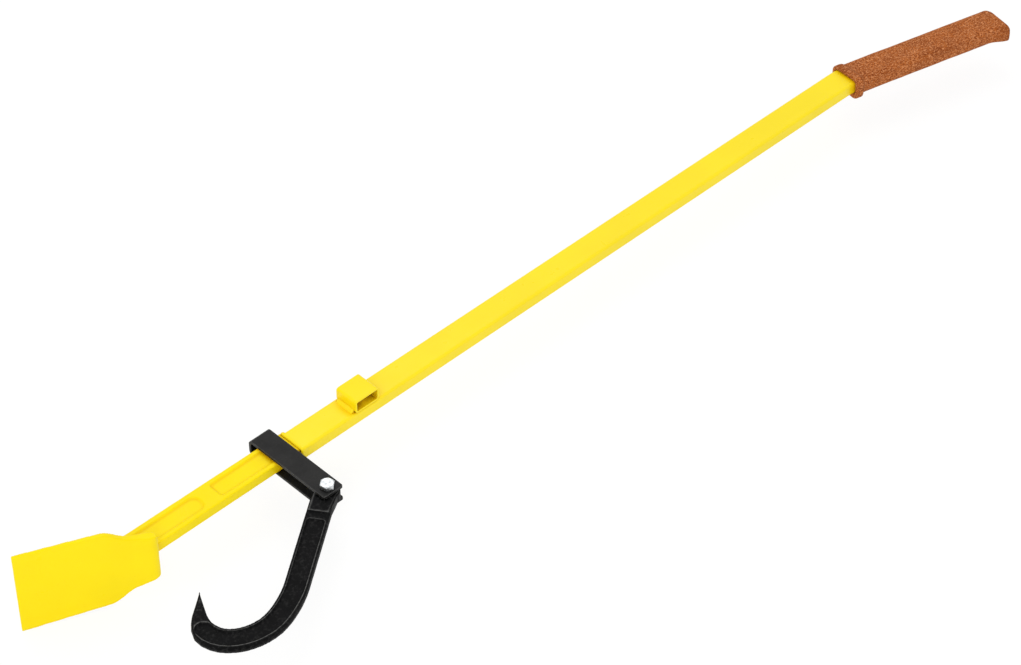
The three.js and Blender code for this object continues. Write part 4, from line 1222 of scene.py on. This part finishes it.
def stage_sky(stage):
    """Even light from a white sky, which looks plain white to the camera."""
    world = bpy.data.worlds.new("even_sky")
    tree = NodeBuilder(emptied_tree(world))
    strength = tree.shade("Mix", {0: seen_directly(tree), 2: stage.sky, 3: 1.0}, data_type="FLOAT")
    sky = tree.shade("Background", {"Color": WHITE, "Strength": strength})
    tree.shade("OutputWorld", {"Surface": sky}, None)
    bpy.context.scene.world = world


def looking_from(azimuth, elevation):
    """Turn of a lamp or camera that looks back at the middle from an azimuth and a height angle."""
    return Matrix.Rotation(azimuth, 4, "Z") @ Matrix.Rotation(math.pi / 2 - elevation, 4, "X")


def stage_lamp(name, azimuth, elevation, side, level):
    """Square soft lamp that adds a level of light on a surface turned to it."""
    distance = 3.2
    data = bpy.data.lights.new(name, "AREA")
    data.size = side
    data.energy = level * math.pi ** 2 * distance ** 2
    turn = looking_from(math.radians(azimuth), math.radians(elevation))
    new_piece(name, data).matrix_world = turn @ Matrix.Translation((0, 0, distance))


def stage_camera(stage):
    """Camera at the photograph's angle."""
    data = bpy.data.cameras.new("photograph_view")
    data.sensor_width = 36.0
    data.lens = stage.lens
    data.clip_end = 50.0
    camera = new_piece("photograph_view", data)
    turn = looking_from(stage.azimuth, stage.elevation) @ Matrix.Rotation(stage.roll, 4, "Z")
    camera.matrix_world = Matrix.Translation(PIVOT + Vector(stage.seen_from)) @ turn
    bpy.context.scene.camera = camera


class MakeStage(Operator):
    """Make the floor, the light and the camera."""

    bl_idname = "felling_lever.stage"
    bl_label = "Stage"

    def execute(self, context):
        stage = context.scene.felling_lever_stage
        stage_floor(stage)
        stage_sky(stage)
        stage_lamp("key_lamp", azimuth=-55, elevation=36, side=1.4, level=stage.key)
        stage_lamp("back_lamp", azimuth=160, elevation=60, side=1.8, level=stage.back)
        stage_camera(stage)
        context.scene.view_settings.view_transform = "Standard"
        return {"FINISHED"}


OPERATORS = (
    MakeStage,
    MakeBladeForging,
    MakeHookForging,
    MakeLeverTube,
    MakeStopSocket,
    MakeWelds,
    MakeLinkStrap,
    MakePivot,
    MakeLeatherSleeve,
    MakeTubeEndPlug,
)


class FellingLeverPanel(Panel):
    """Lists the lever's pieces in the 3D view's sidebar."""

    bl_idname = "VIEW3D_PT_felling_lever"
    bl_label = "Felling Lever"
    bl_space_type = "VIEW_3D"
    bl_region_type = "UI"
    bl_category = "Felling Lever"

    def draw(self, context):
        for operator in OPERATORS:
            self.layout.operator(operator.bl_idname)


GROUPS = {
    "felling_lever_sizes": LeverSizes,
    "felling_lever_colours": LeverColours,
    "felling_lever_stage": StageSettings,
}
CLASSES = (*GROUPS.values(), *OPERATORS, FellingLeverPanel)


def register():
    for item in CLASSES:
        bpy.utils.register_class(item)
    for name, group in GROUPS.items():
        setattr(bpy.types.Scene, name, PointerProperty(type=group))


def unregister():
    for name in GROUPS:
        delattr(bpy.types.Scene, name)
    for item in CLASSES[::-1]:
        bpy.utils.unregister_class(item)


def main():
    register()
    for operator in OPERATORS:
        category, name = operator.bl_idname.split(".")
        getattr(getattr(bpy.ops, category), name)()


if __name__ == "__main__":
    main()
